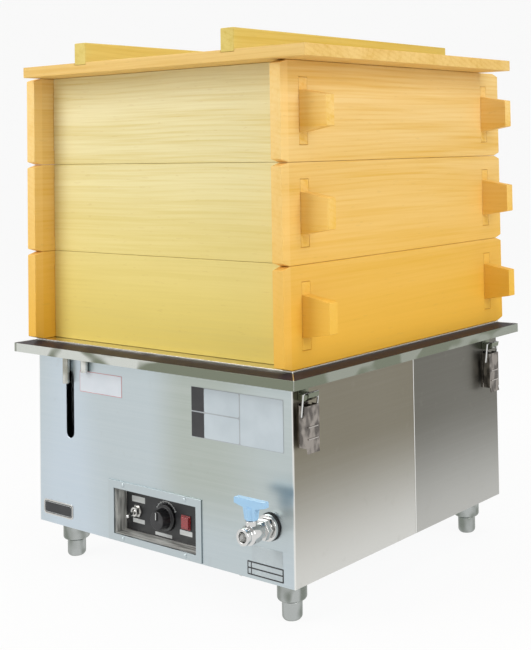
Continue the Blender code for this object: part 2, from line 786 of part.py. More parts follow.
def weld_keeper(section, name, side, y, cabinet):
    """A pressed hook under a tray section beside the casing; the latch loop lies behind its lip."""
    top = SEAT_Z - SHEET / 2
    chin = SEAT_Z - KEEPER_DROP
    floor = SEAT_Z - KEEPER_FLOOR_DROP
    lip = SEAT_Z - KEEPER_LIP_DROP
    outline = [
        (GAP, top),
        (GAP, chin),
        (KEEPER_ROOT_OUT, chin),
        (KEEPER_CHIN_OUT, chin + KEEPER_CHIN_RISE),
        (KEEPER_LIP_OUT, lip),
        (KEEPER_LIP_OUT - KEEPER_LIP_THICKNESS, lip),
        (KEEPER_SEAT_OUT - KEEPER_LIP_THICKNESS, floor),
        (GAP + KEEPER_TAB, floor),
        (GAP + KEEPER_TAB, top),
    ]
    turn = (QUARTER_TURN, 0, 0) if side > 0 else (QUARTER_TURN, 0, math.pi)
    place = (side * HALF_WIDTH, y, 0)
    keeper = add_cutter("keeper_" + name, plate_mesh([outline], KEEPER_WIDTH), cabinet, place, turn)
    combine(section, keeper, "UNION")


def build_tank(cabinet):
    """The water tank under the mouth of the tray, with holes for the drain and the heater."""
    wide = TANK_HALF_WIDTH
    deep = TANK_HALF_DEPTH
    top = SEAT_Z - SHEET - GAP
    rows = [
        (wide, deep, TANK_FLOOR_Z + SHEET),
        (wide, deep, top),
        (wide + TANK_FLANGE, deep + TANK_FLANGE, top),
        (wide + TANK_FLANGE, deep + TANK_FLANGE, top - SHEET),
        (wide + SHEET, deep + SHEET, top - SHEET),
        (wide + SHEET, deep + SHEET, TANK_FLOOR_Z),
    ]
    tank = add_part("water_tank", stepped_frame_mesh(centred_loops(rows), False), "steel_polished", cabinet)
    thick = SHEET + 2 * OVERRUN
    height = TANK_FLOOR_Z + SHEET / 2
    drain = turned_hole(PIPE_DIAMETER / 2 + GAP, thick)
    ends = turned_hole(HEATER_DIAMETER / 2 + GAP, thick, COARSE_STEPS)
    places = [(drain, Matrix.Translation((VALVE_X, PIPE_Y, height)))]
    for x in (-HEATER_INNER_HALF_WIDTH, HEATER_INNER_HALF_WIDTH):
        places.append((ends, Matrix.Translation((x, HEATER_REAR_Y, height))))
    combine(tank, add_cutter("tank_floor_holes", joined(places), cabinet), "DIFFERENCE")
    arm = turned_hole(GAUGE_DIAMETER / 2 + GAP, thick, COARSE_STEPS)
    wall_y = -deep - SHEET / 2
    facing = Matrix.Rotation(QUARTER_TURN, 4, "X")
    places = []
    for z in (GAUGE_LOW_ARM, GAUGE_HIGH_ARM):
        places.append((arm, Matrix.Translation((SLOT_X, wall_y, CABINET_BASE + z)) @ facing))
    combine(tank, add_cutter("gauge_holes", joined(places), cabinet), "DIFFERENCE")


def build_heater(cabinet):
    """A bent tubular heater above the tank floor, both ends going down through it."""
    level = TANK_FLOOR_Z + HEATER_ABOVE_FLOOR
    below = TANK_FLOOR_Z - HEATER_BELOW_FLOOR
    outer = HEATER_HALF_WIDTH
    inner = HEATER_INNER_HALF_WIDTH
    corners = [
        (-inner, HEATER_REAR_Y, below),
        (-inner, HEATER_REAR_Y, level),
        (-outer, HEATER_REAR_Y, level),
        (-outer, HEATER_FRONT_Y, level),
        (outer, HEATER_FRONT_Y, level),
        (outer, HEATER_REAR_Y, level),
        (inner, HEATER_REAR_Y, level),
        (inner, HEATER_REAR_Y, below),
    ]
    path = rounded_path(corners, HEATER_BEND / 2)
    add_part("immersion_heater", wire_mesh(path, HEATER_DIAMETER), "heater_steel", cabinet, smooth=True)


def hollow_pipe(name, corners, bend, diameter, wall, slot, cabinet):
    """A bent pipe: a round bar along the path less a thinner one that runs past both ends."""
    path = rounded_path(corners, bend)
    pipe = add_part(name, wire_mesh(path, diameter), slot, cabinet, smooth=True)
    first = Vector(path[0])
    last = Vector(path[-1])
    start = first + (first - Vector(path[1])).normalized() * OVERRUN
    end = last + (last - Vector(path[-2])).normalized() * OVERRUN
    bore = [tuple(start)] + path[1:-1] + [tuple(end)]
    combine(pipe, add_cutter(name + "_bore", wire_mesh(bore, diameter - 2 * wall), cabinet), "DIFFERENCE")


def build_pipes(cabinet):
    """The gauge tube behind the sight slot, the drain pipe and the two overflow spouts."""
    tube_y = FRONT_FACE + GAUGE_BEHIND_PANEL
    wall_y = -TANK_HALF_DEPTH + OVERRUN
    low = CABINET_BASE + GAUGE_LOW_ARM
    high = CABINET_BASE + GAUGE_HIGH_ARM
    corners = [
        (SLOT_X, wall_y, low),
        (SLOT_X, tube_y, low),
        (SLOT_X, tube_y, high),
        (SLOT_X, wall_y, high),
    ]
    hollow_pipe("gauge_tube", corners, GAUGE_BEND, GAUGE_DIAMETER, GAUGE_WALL, "clear_glass", cabinet)
    inlet = FRONT_FACE + VALVE_SPIGOT_LENGTH + GAP
    axis_z = CABINET_BASE + VALVE_Z
    corners = [
        (VALVE_X, PIPE_Y, TANK_FLOOR_Z + SHEET + PIPE_ABOVE_TANK_FLOOR),
        (VALVE_X, PIPE_Y, axis_z),
        (VALVE_X, inlet, axis_z),
    ]
    hollow_pipe("drain_pipe", corners, PIPE_BEND, PIPE_DIAMETER, PIPE_WALL, "steel_polished", cabinet)
    spout_y = FRONT_FACE - GAP - SPOUT_DIAMETER / 2
    top = SEAT_Z - SPOUT_TOP_DROP
    outer = SPOUT_DIAMETER / 2
    inner = outer - SPOUT_WALL
    for name, inset, drop in (
        ("overflow_spout_long", LONG_SPOUT_INSET_X, LONG_SPOUT_DROP),
        ("overflow_spout_short", SHORT_SPOUT_INSET_X, SHORT_SPOUT_DROP),
    ):
        x = inset - HALF_WIDTH
        length = top - (SEAT_Z - drop)
        profile = [(inner, 0), (outer, 0), (outer, -length), (inner, -length)]
        mesh = turned_mesh(profile, COARSE_STEPS, closed=True)
        add_part(name, mesh, "steel_polished", cabinet, (x, spout_y, top), smooth=True)


def front_place(x, out, height):
    """A point out in front of the front panel, at a height above the cabinet base."""
    return (x, FRONT_FACE - out, CABINET_BASE + height)


def build_bezel(cabinet):
    """The pressed surround of the control recess: a flange, four recess walls and four screw heads."""
    face = HALF_DEPTH + GAP + BEZEL_THICKNESS
    back = HALF_DEPTH + GAP
    deep = HALF_DEPTH - RECESS_DEPTH
    flange = (BEZEL_LEFT, BEZEL_RIGHT, BEZEL_BOTTOM, BEZEL_TOP)
    inner = (RECESS_LEFT, RECESS_RIGHT, RECESS_BOTTOM, RECESS_TOP)
    outer = (RECESS_LEFT - SHEET, RECESS_RIGHT + SHEET, RECESS_BOTTOM - SHEET, RECESS_TOP + SHEET)
    loops = [
        (*flange, face),
        (*inner, face),
        (*inner, deep),
        (*outer, deep),
        (*outer, back),
        (*flange, back),
    ]
    place = (0, 0, CABINET_BASE)
    facing = (QUARTER_TURN, 0, 0)
    mesh = stepped_frame_mesh(loops, True)
    bezel = add_part("control_bezel", mesh, "steel_polished", cabinet, place, facing)
    radius = SCREW_HEAD_DIAMETER / 2
    top = face + SCREW_HEAD_HEIGHT
    sunk = face - SHEET / 2
    dome = [(0, top), (radius / 2, top), (radius, top - SCREW_HEAD_DOME), (radius, sunk), (0, sunk)]
    head = turned_mesh(dome, COARSE_STEPS)
    placed = []
    for x in (BEZEL_LEFT + SCREW_INSET_X, BEZEL_RIGHT - SCREW_INSET_X):
        for z in (BEZEL_BOTTOM + SCREW_INSET_Z, BEZEL_TOP - SCREW_INSET_Z):
            placed.append((head, Matrix.Translation((x, z, 0))))
    combine(bezel, add_cutter("bezel_screws", joined(placed), cabinet, place, facing), "UNION")


def build_control_plate(cabinet):
    """The black plate at the back of the recess, with holes for the switch, the knob and the lamp."""
    face = FRONT_FACE + RECESS_DEPTH + GAP
    lap = SHEET + CONTROL_PLATE_LAP
    low = (RECESS_LEFT - lap, face, CABINET_BASE + RECESS_BOTTOM - lap)
    high = (RECESS_RIGHT + lap, face + CONTROL_PLATE_THICKNESS, CABINET_BASE + RECESS_TOP + lap)
    plate = add_part("control_plate", block_mesh([(low, high)]), "black_panel", cabinet)
    thick = CONTROL_PLATE_THICKNESS + 2 * OVERRUN
    bush = turned_hole(SWITCH_BUSH_DIAMETER / 2 + GAP, thick, COARSE_STEPS)
    shaft = turned_hole(SHAFT_DIAMETER / 2 + GAP, thick, COARSE_STEPS)
    wide = LAMP_WIDTH / 2 + GAP
    tall = LAMP_HEIGHT / 2 + GAP
    window = block_mesh([((-wide, -tall, -thick / 2), (wide, tall, thick / 2))])
    placed = [
        (bush, Matrix.Translation((SWITCH_X, 0, 0))),
        (shaft, Matrix.Translation((KNOB_X, 0, 0))),
        (window, Matrix.Translation((LAMP_X, 0, 0))),
    ]
    middle = (0, face + CONTROL_PLATE_THICKNESS / 2, CABINET_BASE + CONTROL_Z)
    holes = add_cutter("control_holes", joined(placed), cabinet, middle, (QUARTER_TURN, 0, 0))
    combine(plate, holes, "DIFFERENCE")


def build_switch(cabinet):
    """A toggle switch: body behind the plate, threaded bush and nut, and a lever on its own pivot."""
    plate_out = -RECESS_DEPTH - GAP
    place = front_place(SWITCH_X, plate_out, CONTROL_Z)
    facing = (QUARTER_TURN, 0, 0)
    front = -CONTROL_PLATE_THICKNESS - GAP
    low = (-SWITCH_BODY_WIDTH / 2, -SWITCH_BODY_HEIGHT / 2, front - SWITCH_BODY_DEPTH)
    high = (SWITCH_BODY_WIDTH / 2, SWITCH_BODY_HEIGHT / 2, front)
    body = add_part("switch_body", block_mesh([(low, high)]), "steel_polished", cabinet, place, facing)
    radius = SWITCH_BUSH_DIAMETER / 2
    proud = SWITCH_BUSH_PROUD
    bore = SWITCH_BORE_DIAMETER / 2
    pit = proud - SWITCH_BORE_DEPTH
    behind = front - SHEET
    bush_profile = [(0, pit), (bore, pit), (bore, proud), (radius, proud), (radius, behind), (0, behind)]
    bush = turned_mesh(bush_profile)
    combine(body, add_cutter("switch_bush", bush, cabinet, place, facing), "UNION")
    nut_top = GAP + SWITCH_NUT_THICKNESS
    nut_radius = SWITCH_NUT_DIAMETER / 2
    inner = radius - GAP
    ring = [(inner, nut_top), (nut_radius, nut_top), (nut_radius, GAP), (inner, GAP)]
    nut_mesh = turned_mesh(ring, HEXAGON_STEPS, closed=True)
    combine(body, add_cutter("switch_nut", nut_mesh, cabinet, place, facing), "UNION")
    ball = LEVER_BALL_DIAMETER / 2
    root = LEVER_ROOT_DIAMETER / 2
    tip = LEVER_TIP_DIAMETER / 2
    profile = [(0, LEVER_LENGTH)]
    for step in range(1, TIP_STEPS + 1):
        angle = QUARTER_TURN * step / TIP_STEPS
        profile.append((tip * math.sin(angle), LEVER_LENGTH - tip + tip * math.cos(angle)))
    neck = math.asin(root / ball)
    for step in range(ARC_STEPS + 1):
        angle = neck + (math.pi - neck) * step / ARC_STEPS
        profile.append((ball * math.sin(angle), ball * math.cos(angle)))
    profile[-1] = (0, -ball)
    pivot = front_place(SWITCH_X, plate_out + proud - ball - GAP, CONTROL_Z)
    tilt = (QUARTER_TURN + math.radians(LEVER_TILT_DEGREES), 0, 0)
    mesh = turned_mesh(profile, COARSE_STEPS)
    add_part("toggle_lever", mesh, "chrome_plate", cabinet, pivot, tilt, smooth=True)


def build_thermostat(cabinet):
    """The thermostat behind the plate and its knob, whose shaft runs into it."""
    place = front_place(KNOB_X, -RECESS_DEPTH - GAP, CONTROL_Z)
    facing = (QUARTER_TURN, 0, 0)
    front = -CONTROL_PLATE_THICKNESS - GAP
    half = THERMOSTAT_SIZE / 2
    mesh = block_mesh([((-half, -half, front - THERMOSTAT_DEPTH), (half, half, front))])
    body = add_part("thermostat_body", mesh, "steel_polished", cabinet, place, facing)
    bore = turned_hole(SHAFT_DIAMETER / 2 + GAP, 2 * (SHAFT_LENGTH + OVERRUN), COARSE_STEPS)
    combine(body, add_cutter("shaft_bore", bore, cabinet, place, facing), "DIFFERENCE")
    top = KNOB_HEIGHT
    top_radius = KNOB_TOP_DIAMETER / 2
    skirt = KNOB_SKIRT_DIAMETER / 2
    shaft = SHAFT_DIAMETER / 2
    profile = [
        (0, top),
        (top_radius - KNOB_EDGE, top),
        (top_radius, top - KNOB_EDGE),
        (KNOB_GRIP_DIAMETER / 2, KNOB_SKIRT_HEIGHT),
        (skirt - KNOB_EDGE, KNOB_SKIRT_HEIGHT),
        (skirt, KNOB_SKIRT_HEIGHT - KNOB_EDGE),
        (skirt, KNOB_CLEARANCE),
        (shaft, KNOB_CLEARANCE),
        (shaft, -SHAFT_LENGTH),
        (0, -SHAFT_LENGTH),
    ]
    knob_mesh = turned_mesh(profile)
    knob = add_part("thermostat_knob", knob_mesh, "black_plastic", cabinet, place, facing, smooth=True)
    low = (-KNOB_RIB_WIDTH / 2, 0, top - KNOB_EDGE)
    high = (KNOB_RIB_WIDTH / 2, KNOB_RIB_LENGTH, top + KNOB_RIB_PROUD)
    combine(knob, add_cutter("knob_rib", block_mesh([(low, high)]), cabinet, place, facing), "UNION")


def build_lamp(cabinet):
    """A square pilot lamp: body through the plate, thin flange and raised lens."""
    wide = LAMP_WIDTH / 2
    tall = LAMP_HEIGHT / 2
    brim = GAP + LAMP_FLANGE_THICKNESS
    inset = LAMP_FLANGE_THICKNESS / 2
    rows = [
        (wide, tall, -LAMP_BODY_DEPTH),
        (wide, tall, GAP),
        (wide + LAMP_FLANGE, tall + LAMP_FLANGE, GAP),
        (wide + LAMP_FLANGE, tall + LAMP_FLANGE, brim),
        (wide, tall, brim),
        (wide, tall, LAMP_PROUD - inset),
        (wide - inset, tall - inset, LAMP_PROUD),
    ]
    place = front_place(LAMP_X, -RECESS_DEPTH - GAP, CONTROL_Z)
    mesh = stepped_frame_mesh(centred_loops(rows), False)
    add_part("pilot_lamp", mesh, "red_lens", cabinet, place, (QUARTER_TURN, 0, 0))


def build_valve(cabinet):
    """The drain valve: gasket, body with ball cavity and bonnet, lock nut, ball with stem, T-handle."""
    place = front_place(VALVE_X, 0, VALVE_Z)
    facing = (QUARTER_TURN, 0, 0)
    neck = VALVE_NECK_DIAMETER / 2
    gasket_top = GAP + VALVE_GASKET_THICKNESS
    ring = VALVE_GASKET_DIAMETER / 2
    profile = [(neck + GAP, gasket_top), (ring, gasket_top), (ring, GAP), (neck + GAP, GAP)]
    add_part("valve_gasket", turned_mesh(profile, closed=True), "black_rubber", cabinet, place, facing, True)
    flange = VALVE_FLANGE_DIAMETER / 2
    flange_low = gasket_top + GAP
    flange_high = flange_low + VALVE_FLANGE_THICKNESS
    housing = VALVE_HOUSING_DIAMETER / 2
    chamfer = VALVE_HOUSING_CHAMFER
    start = VALVE_AXIS_OUT - VALVE_HOUSING_HALF_LENGTH
    end = VALVE_AXIS_OUT + VALVE_HOUSING_HALF_LENGTH
    outlet = VALVE_OUTLET_DIAMETER / 2
    edge = VALVE_OUTLET_CHAMFER
    bore = VALVE_BORE_DIAMETER / 2
    cavity = BALL_DIAMETER / 2 + GAP
    profile = [
        (bore, VALVE_REACH),
        (outlet - edge, VALVE_REACH),
        (outlet, VALVE_REACH - edge),
        (outlet, end - edge),
        (housing - chamfer, end - edge),
        (housing, end - chamfer - edge),
        (housing, start + chamfer),
        (neck, start),
        (neck, flange_high),
        (flange, flange_high),
        (flange, flange_low),
        (neck, flange_low),
        (neck, -VALVE_SPIGOT_LENGTH),
        (bore, -VALVE_SPIGOT_LENGTH),
    ]
    entry = math.asin(bore / cavity)
    for step in range(ARC_STEPS + 1):
        angle = math.pi - entry - (math.pi - 2 * entry) * step / ARC_STEPS
        profile.append((cavity * math.sin(angle), VALVE_AXIS_OUT + cavity * math.cos(angle)))
    body_mesh = turned_mesh(profile, closed=True)
    body = add_part("valve_body", body_mesh, "chrome_plate", cabinet, place, facing, True)
    hex_radius = VALVE_HEX_DIAMETER / 2
    inner = neck - SHEET
    hexagon = [
        (inner, VALVE_HEX_END),
        (hex_radius, VALVE_HEX_END),
        (hex_radius, VALVE_HEX_START),
        (inner, VALVE_HEX_START),
    ]
    hexagon_mesh = turned_mesh(hexagon, HEXAGON_STEPS, closed=True)
    combine(body, add_cutter("valve_hexagon", hexagon_mesh, cabinet, place, facing), "UNION")
    axis = front_place(VALVE_X, VALVE_AXIS_OUT, VALVE_Z)
    bonnet_radius = VALVE_BONNET_DIAMETER / 2
    root = cavity + SHEET
    bonnet_top = VALVE_BONNET_HEIGHT
    bonnet = turned_mesh([(0, bonnet_top), (bonnet_radius, bonnet_top), (bonnet_radius, root), (0, root)])
    combine(body, add_cutter("valve_bonnet", bonnet, cabinet, axis), "UNION")
    stem_hole = STEM_DIAMETER / 2 + GAP
    high = VALVE_BONNET_HEIGHT + OVERRUN
    low = BALL_DIAMETER * STEM_HOLE_DEPTH_SHARE
    hole = turned_mesh([(0, high), (stem_hole, high), (stem_hole, low), (0, low)], COARSE_STEPS)
    combine(body, add_cutter("stem_hole", hole, cabinet, axis), "DIFFERENCE")
    nut_radius = VALVE_NUT_DIAMETER / 2
    nut_high = -SHEET - GAP
    nut_low = nut_high - VALVE_NUT_THICKNESS
    nut_profile = [(0, nut_high), (nut_radius, nut_high), (nut_radius, nut_low), (0, nut_low)]
    mesh = turned_mesh(nut_profile, HEXAGON_STEPS)
    nut = add_part("valve_lock_nut", mesh, "steel_polished", cabinet, place, facing)
    thread = turned_hole(neck + GAP, 2 * (VALVE_SPIGOT_LENGTH + OVERRUN))
    combine(nut, add_cutter("nut_thread", thread, cabinet, place, facing), "DIFFERENCE")
    build_ball_and_handle(cabinet, axis)


def build_ball_and_handle(cabinet, axis):
    """The ball with its bore across the flow when the handle lies along the front, and the T-handle."""
    ball = BALL_DIAMETER / 2
    stem = STEM_DIAMETER / 2
    top = HANDLE_TOP_ABOVE_AXIS
    bar_low = top - HANDLE_BAR_HEIGHT
    handle_low = bar_low - HANDLE_STEM_HEIGHT
    stem_top = handle_low + HANDLE_SOCKET_DEPTH - GAP
    profile = [(0, stem_top), (stem, stem_top)]
    neck = math.asin(stem / ball)
    for step in range(ARC_STEPS + 1):
        angle = neck + (math.pi - neck) * step / ARC_STEPS
        profile.append((ball * math.sin(angle), ball * math.cos(angle)))
    profile[-1] = (0, -ball)
    valve_ball = add_part("valve_ball", turned_mesh(profile), "chrome_plate", cabinet, axis, smooth=True)
    bore = turned_hole(BALL_BORE_DIAMETER / 2, BALL_DIAMETER + 2 * OVERRUN, COARSE_STEPS)
    across = (0, QUARTER_TURN, 0)
    combine(valve_ball, add_cutter("ball_bore", bore, cabinet, axis, across), "DIFFERENCE")
    half = HANDLE_LENGTH / 2
    tip = bar_low + HANDLE_TIP_DROP
    wide = HANDLE_STEM_TOP_WIDTH / 2
    narrow = HANDLE_STEM_BOTTOM_WIDTH / 2
    outline = [
        (-half, top - HANDLE_EDGE),
        (-half + HANDLE_EDGE, top),
        (half - HANDLE_EDGE, top),
        (half, top - HANDLE_EDGE),
        (half, tip),
        (wide, bar_low),
        (narrow, handle_low),
        (-narrow, handle_low),
        (-wide, bar_low),
        (-half, tip),
    ]
    upright = (QUARTER_TURN, 0, 0)
    mesh = plate_mesh([outline], HANDLE_THICKNESS)
    handle = add_part("valve_handle", mesh, "blue_plastic", cabinet, axis, upright)
    hub_radius = narrow - SHEET
    hub = turned_mesh([(0, bar_low), (hub_radius, bar_low), (hub_radius, handle_low), (0, handle_low)])
    combine(handle, add_cutter("handle_hub", hub, cabinet, axis), "UNION")
    high = handle_low + HANDLE_SOCKET_DEPTH
    low = handle_low - OVERRUN
    socket = turned_mesh([(0, high), (stem + GAP, high), (stem + GAP, low), (0, low)], COARSE_STEPS)
    combine(handle, add_cutter("handle_socket", socket, cabinet, axis), "DIFFERENCE")


def build_gland(cabinet):
    """The cord gland through the rear casing, open for a cord that isn't part of the object."""
    bore = GLAND_BORE_DIAMETER / 2
    thread = GLAND_THREAD_DIAMETER / 2
    outer = GLAND_DIAMETER / 2
    nose = GLAND_NOSE_DIAMETER / 2
    profile = [
        (bore, GLAND_PROUD),
        (nose - SHEET, GLAND_PROUD),
        (nose, GLAND_PROUD - SHEET),
        (outer, GLAND_FLANGE),
        (outer, GAP),
        (thread, GAP),
        (thread, -GLAND_INSIDE),
        (bore, -GLAND_INSIDE),
    ]
    place = (GLAND_X, HALF_DEPTH, CABINET_BASE + GLAND_Z)
    mesh = turned_mesh(profile, closed=True)
    add_part("cord_gland", mesh, "black_plastic", cabinet, place, (-QUARTER_TURN, 0, 0), smooth=True)


def build_latch(name, side, y, cabinet):
    """One draw latch in its own frame, whose +X points away from the cabinet side."""
    turn = (0, 0, 0) if side > 0 else (0, 0, math.pi)
    mount = add_empty("latch_frame_" + name, (side * HALF_WIDTH, y, CABINET_BASE), cabinet)
    mount.rotation_euler = turn
    along_y = (QUARTER_TURN, 0, 0)
    half = LATCH_BASE_WIDTH / 2
    low = (GAP, -half, SEAT_ABOVE_BASE - LATCH_BASE_BOTTOM_DROP)
    high = (GAP + SHEET, half, SEAT_ABOVE_BASE - LATCH_BASE_TOP_DROP)
    base = add_part("latch_base_" + name, block_mesh([(low, high)]), "steel_polished", mount)
    out = LATCH_PIVOT_OUT
    radius = LATCH_EAR_RADIUS
    root = GAP + SHEET / 2 - out
    outline = [(root, -radius)]
    for step in range(ARC_STEPS + 1):
        angle = -QUARTER_TURN + math.pi * step / ARC_STEPS
        outline.append((radius * math.cos(angle), radius * math.sin(angle)))
    outline.append((root, radius))
    ear = plate_mesh([outline], LATCH_EAR_THICKNESS)
    ear_y = half - LATCH_EAR_THICKNESS / 2
    ears = joined([(ear, Matrix.Translation((0, 0, reach))) for reach in (-ear_y, ear_y)])
    pivot = (out, 0, LATCH_PIVOT_Z)
    combine(base, add_cutter("ears_" + name, ears, mount, pivot, along_y), "UNION")
    pin = turned_hole(LATCH_PIN_DIAMETER / 2, LATCH_LEVER_WIDTH, COARSE_STEPS)
    combine(base, add_cutter("pin_" + name, pin, mount, pivot, along_y), "UNION")
    build_lever_and_loop(name, mount, pivot, along_y)


def build_lever_and_loop(name, mount, pivot, along_y):
    """The channel-shaped lever on the pivot pin, and the wire loop that hangs in its two flanges."""
    face = LATCH_LEVER_FACE_OUT - LATCH_PIVOT_OUT
    back = -LATCH_LEVER_FLANGE_IN
    half = LATCH_LEVER_WIDTH / 2
    low = LATCH_PIVOT_DROP - LATCH_LEVER_BOTTOM_DROP + LATCH_LEVER_CURL
    high = LATCH_LEVER_ABOVE_PIVOT
    channel = [
        (back, -half),
        (face, -half),
        (face, half),
        (back, half),
        (back, half - SHEET),
        (face - SHEET, half - SHEET),
        (face - SHEET, -half + SHEET),
        (back, -half + SHEET),
    ]
    mesh = plate_mesh([channel], high - low)
    mesh.transform(Matrix.Translation((0, 0, (high + low) / 2)))
    lever = add_part("latch_lever_" + name, mesh, "steel_polished", mount, pivot)
    curl = [
        (face - SHEET, low + SHEET),
        (face - SHEET, low),
        (face, low - LATCH_LEVER_CURL),
        (face + SHEET, low - LATCH_LEVER_CURL),
        (face, low),
        (face, low + SHEET),
    ]
    tab = plate_mesh([curl], LATCH_LEVER_WIDTH - 2 * SHEET)
    combine(lever, add_cutter("lever_tab_" + name, tab, mount, pivot, along_y), "UNION")
    length = LATCH_LEVER_WIDTH + 2 * OVERRUN
    pin_hole = turned_hole(LATCH_PIN_DIAMETER / 2 + GAP, length, COARSE_STEPS)
    wire_hole = turned_hole(LATCH_WIRE_DIAMETER / 2 + GAP, length, COARSE_STEPS)
    throw = Matrix.Translation((0, -LATCH_LOOP_THROW, 0))
    holes = joined([(pin_hole, Matrix.Identity(4)), (wire_hole, throw)])
    combine(lever, add_cutter("lever_holes_" + name, holes, mount, pivot, along_y), "DIFFERENCE")
    wire = LATCH_WIRE_DIAMETER / 2
    side = half + GAP + wire
    bar_z = SEAT_ABOVE_BASE - KEEPER_FLOOR_DROP + GAP + wire
    rise = bar_z - LATCH_PIVOT_Z + LATCH_LOOP_THROW
    lean = LATCH_LOOP_TOP_OUT - LATCH_PIVOT_OUT
    corners = [(0, -side, 0), (0, side, 0), (lean, side, rise), (lean, -side, rise)]
    path = rounded_path(corners, LATCH_LOOP_BEND, 3, closed=True)
    place = (pivot[0], 0, LATCH_PIVOT_Z - LATCH_LOOP_THROW)
    loop = wire_mesh(path, LATCH_WIRE_DIAMETER, closed=True)
    add_part("latch_loop_" + name, loop, "chrome_plate", mount, place, smooth=True)


def build_side_board(prefix, side, frame):
    """One long side board with chamfered ends and a through mortise near each end."""
    half = FRAME_HALF_LENGTH
    run = SIDE_BOARD_CHAMFER_LENGTH
    rise = SIDE_BOARD_CHAMFER_HEIGHT
    top = FRAME_HEIGHT
    outline = [
        (-half, rise),
        (-half + run, 0),
        (half - run, 0),
        (half, rise),
        (half, top - rise),
        (half - run, top),
        (-half + run, top),
        (-half, top - rise),
    ]
    thick = SIDE_BOARD_THICKNESS
    middle = side * (SIDE_BOARD_FACE_X - thick / 2)
    name = prefix + ("_left_board" if side < 0 else "_right_board")
    mesh = plate_mesh([outline], thick)
    board = add_part(name, mesh, "side_wood", frame, (middle, 0, 0), (QUARTER_TURN, 0, QUARTER_TURN))
    mortises = []
    tall = TENON_HEIGHT / 2 + GAP
    wide = END_BOARD_THICKNESS / 2 + GAP
    for end in (-1, 1):
        y = end * (half - END_BOARD_RECESS - END_BOARD_THICKNESS / 2)
        low = (-thick / 2 - OVERRUN, y - wide, top / 2 - tall)
        high = (thick / 2 + OVERRUN, y + wide, top / 2 + tall)
        mortises.append((low, high))
    helper = add_cutter(name + "_mortises", block_mesh(mortises), frame, (middle, 0, 0))
    combine(board, helper, "DIFFERENCE")


def build_end_board(prefix, end, frame):
    """The front or rear board: shoulders, a through tenon and a tapered ear at each side."""
    top = FRAME_HEIGHT
    middle = top / 2
    shoulder = SIDE_BOARD_FACE_X - SIDE_BOARD_THICKNESS - GAP
    face = SIDE_BOARD_FACE_X
    tip = SIDE_BOARD_FACE_X + EAR_LENGTH
    root = shoulder - END_BOARD_THICKNESS
    right = [
        (root, middle - TENON_HEIGHT / 2),
        (face, middle - TENON_HEIGHT / 2),
        (face, middle - EAR_ROOT_HEIGHT / 2),
        (tip, middle - EAR_TIP_HEIGHT / 2),
        (tip, middle + EAR_TIP_HEIGHT / 2),
        (face, middle + EAR_ROOT_HEIGHT / 2),
        (face, middle + TENON_HEIGHT / 2),
        (root, middle + TENON_HEIGHT / 2),
    ]
    left = [(-x, z) for x, z in reversed(right)]
    y = end * (FRAME_HALF_LENGTH - END_BOARD_RECESS - END_BOARD_THICKNESS / 2)
    name = prefix + ("_front_board" if end < 0 else "_rear_board")
    half = END_BOARD_THICKNESS / 2
    mesh = block_mesh([((-shoulder, y - half, 0), (shoulder, y + half, top))])
    board = add_part(name, mesh, "front_wood", frame)
    tenons = plate_mesh([right, left], END_BOARD_THICKNESS)
    upright = (QUARTER_TURN, 0, 0)
    combine(board, add_cutter(name + "_tenons", tenons, frame, (0, y, 0), upright), "UNION")
    inner = y - end * END_BOARD_THICKNESS / 2
    groove = sorted((inner + end * GRATE_GROOVE, inner - end * OVERRUN))
    low = (-shoulder - OVERRUN, groove[0], GRATE_BOTTOM - GAP)
    high = (shoulder + OVERRUN, groove[1], GRATE_BOTTOM + GRATE_THICKNESS + GAP)
    combine(board, add_cutter(name + "_groove", block_mesh([(low, high)]), frame), "DIFFERENCE")


def build_grate(prefix, frame):
    """The slatted floor of a steam frame, held in the grooves of the front and rear boards."""
    inner_y = FRAME_HALF_LENGTH - END_BOARD_RECESS - END_BOARD_THICKNESS
    reach = inner_y + GRATE_GROOVE - GAP
    edge = SIDE_BOARD_FACE_X - SIDE_BOARD_THICKNESS - GRATE_SIDE_CLEARANCE
    first = -edge + GRATE_SLAT_WIDTH / 2
    pitch = -2 * first / (GRATE_SLATS - 1)
    high = GRATE_BOTTOM + GRATE_THICKNESS
    slats = []
    for index in range(GRATE_SLATS):
        x = first + index * pitch
        near = (x - GRATE_SLAT_WIDTH / 2, -reach, GRATE_BOTTOM)
        far = (x + GRATE_SLAT_WIDTH / 2, reach, high)
        slats.append((near, far))
    grate = add_part(prefix + "_grate", block_mesh(slats), "grate_wood", frame)
    bearers = []
    overlap = GRATE_BOTTOM + GRATE_THICKNESS * BEARER_SINK_SHARE
    bearer_y = inner_y - GRATE_BEARER_INSET
    for y in (-bearer_y, bearer_y):
        near = (-edge - GAP, y - GRATE_BEARER_WIDTH / 2, GRATE_BOTTOM - GRATE_BEARER_DROP)
        far = (edge + GAP, y + GRATE_BEARER_WIDTH / 2, overlap)
        bearers.append((near, far))
    combine(grate, add_cutter(prefix + "_bearers", block_mesh(bearers), frame), "UNION")


def build_stack(cabinet):
    """Three equal steam frames and the lid, each carried by the one below."""
    carrier = cabinet
    height = STACK_BASE
    for prefix in ("lower_frame", "middle_frame", "upper_frame")[:FRAME_COUNT]:
        frame = add_empty(prefix + "_lift", (0, 0, height), carrier)
        for side in (-1, 1):
            build_side_board(prefix, side, frame)
        for end in (-1, 1):
            build_end_board(prefix, end, frame)
        build_grate(prefix, frame)
        carrier = frame
        height = FRAME_PITCH
    build_lid(add_empty("lid_lift", (0, 0, FRAME_PITCH), carrier))


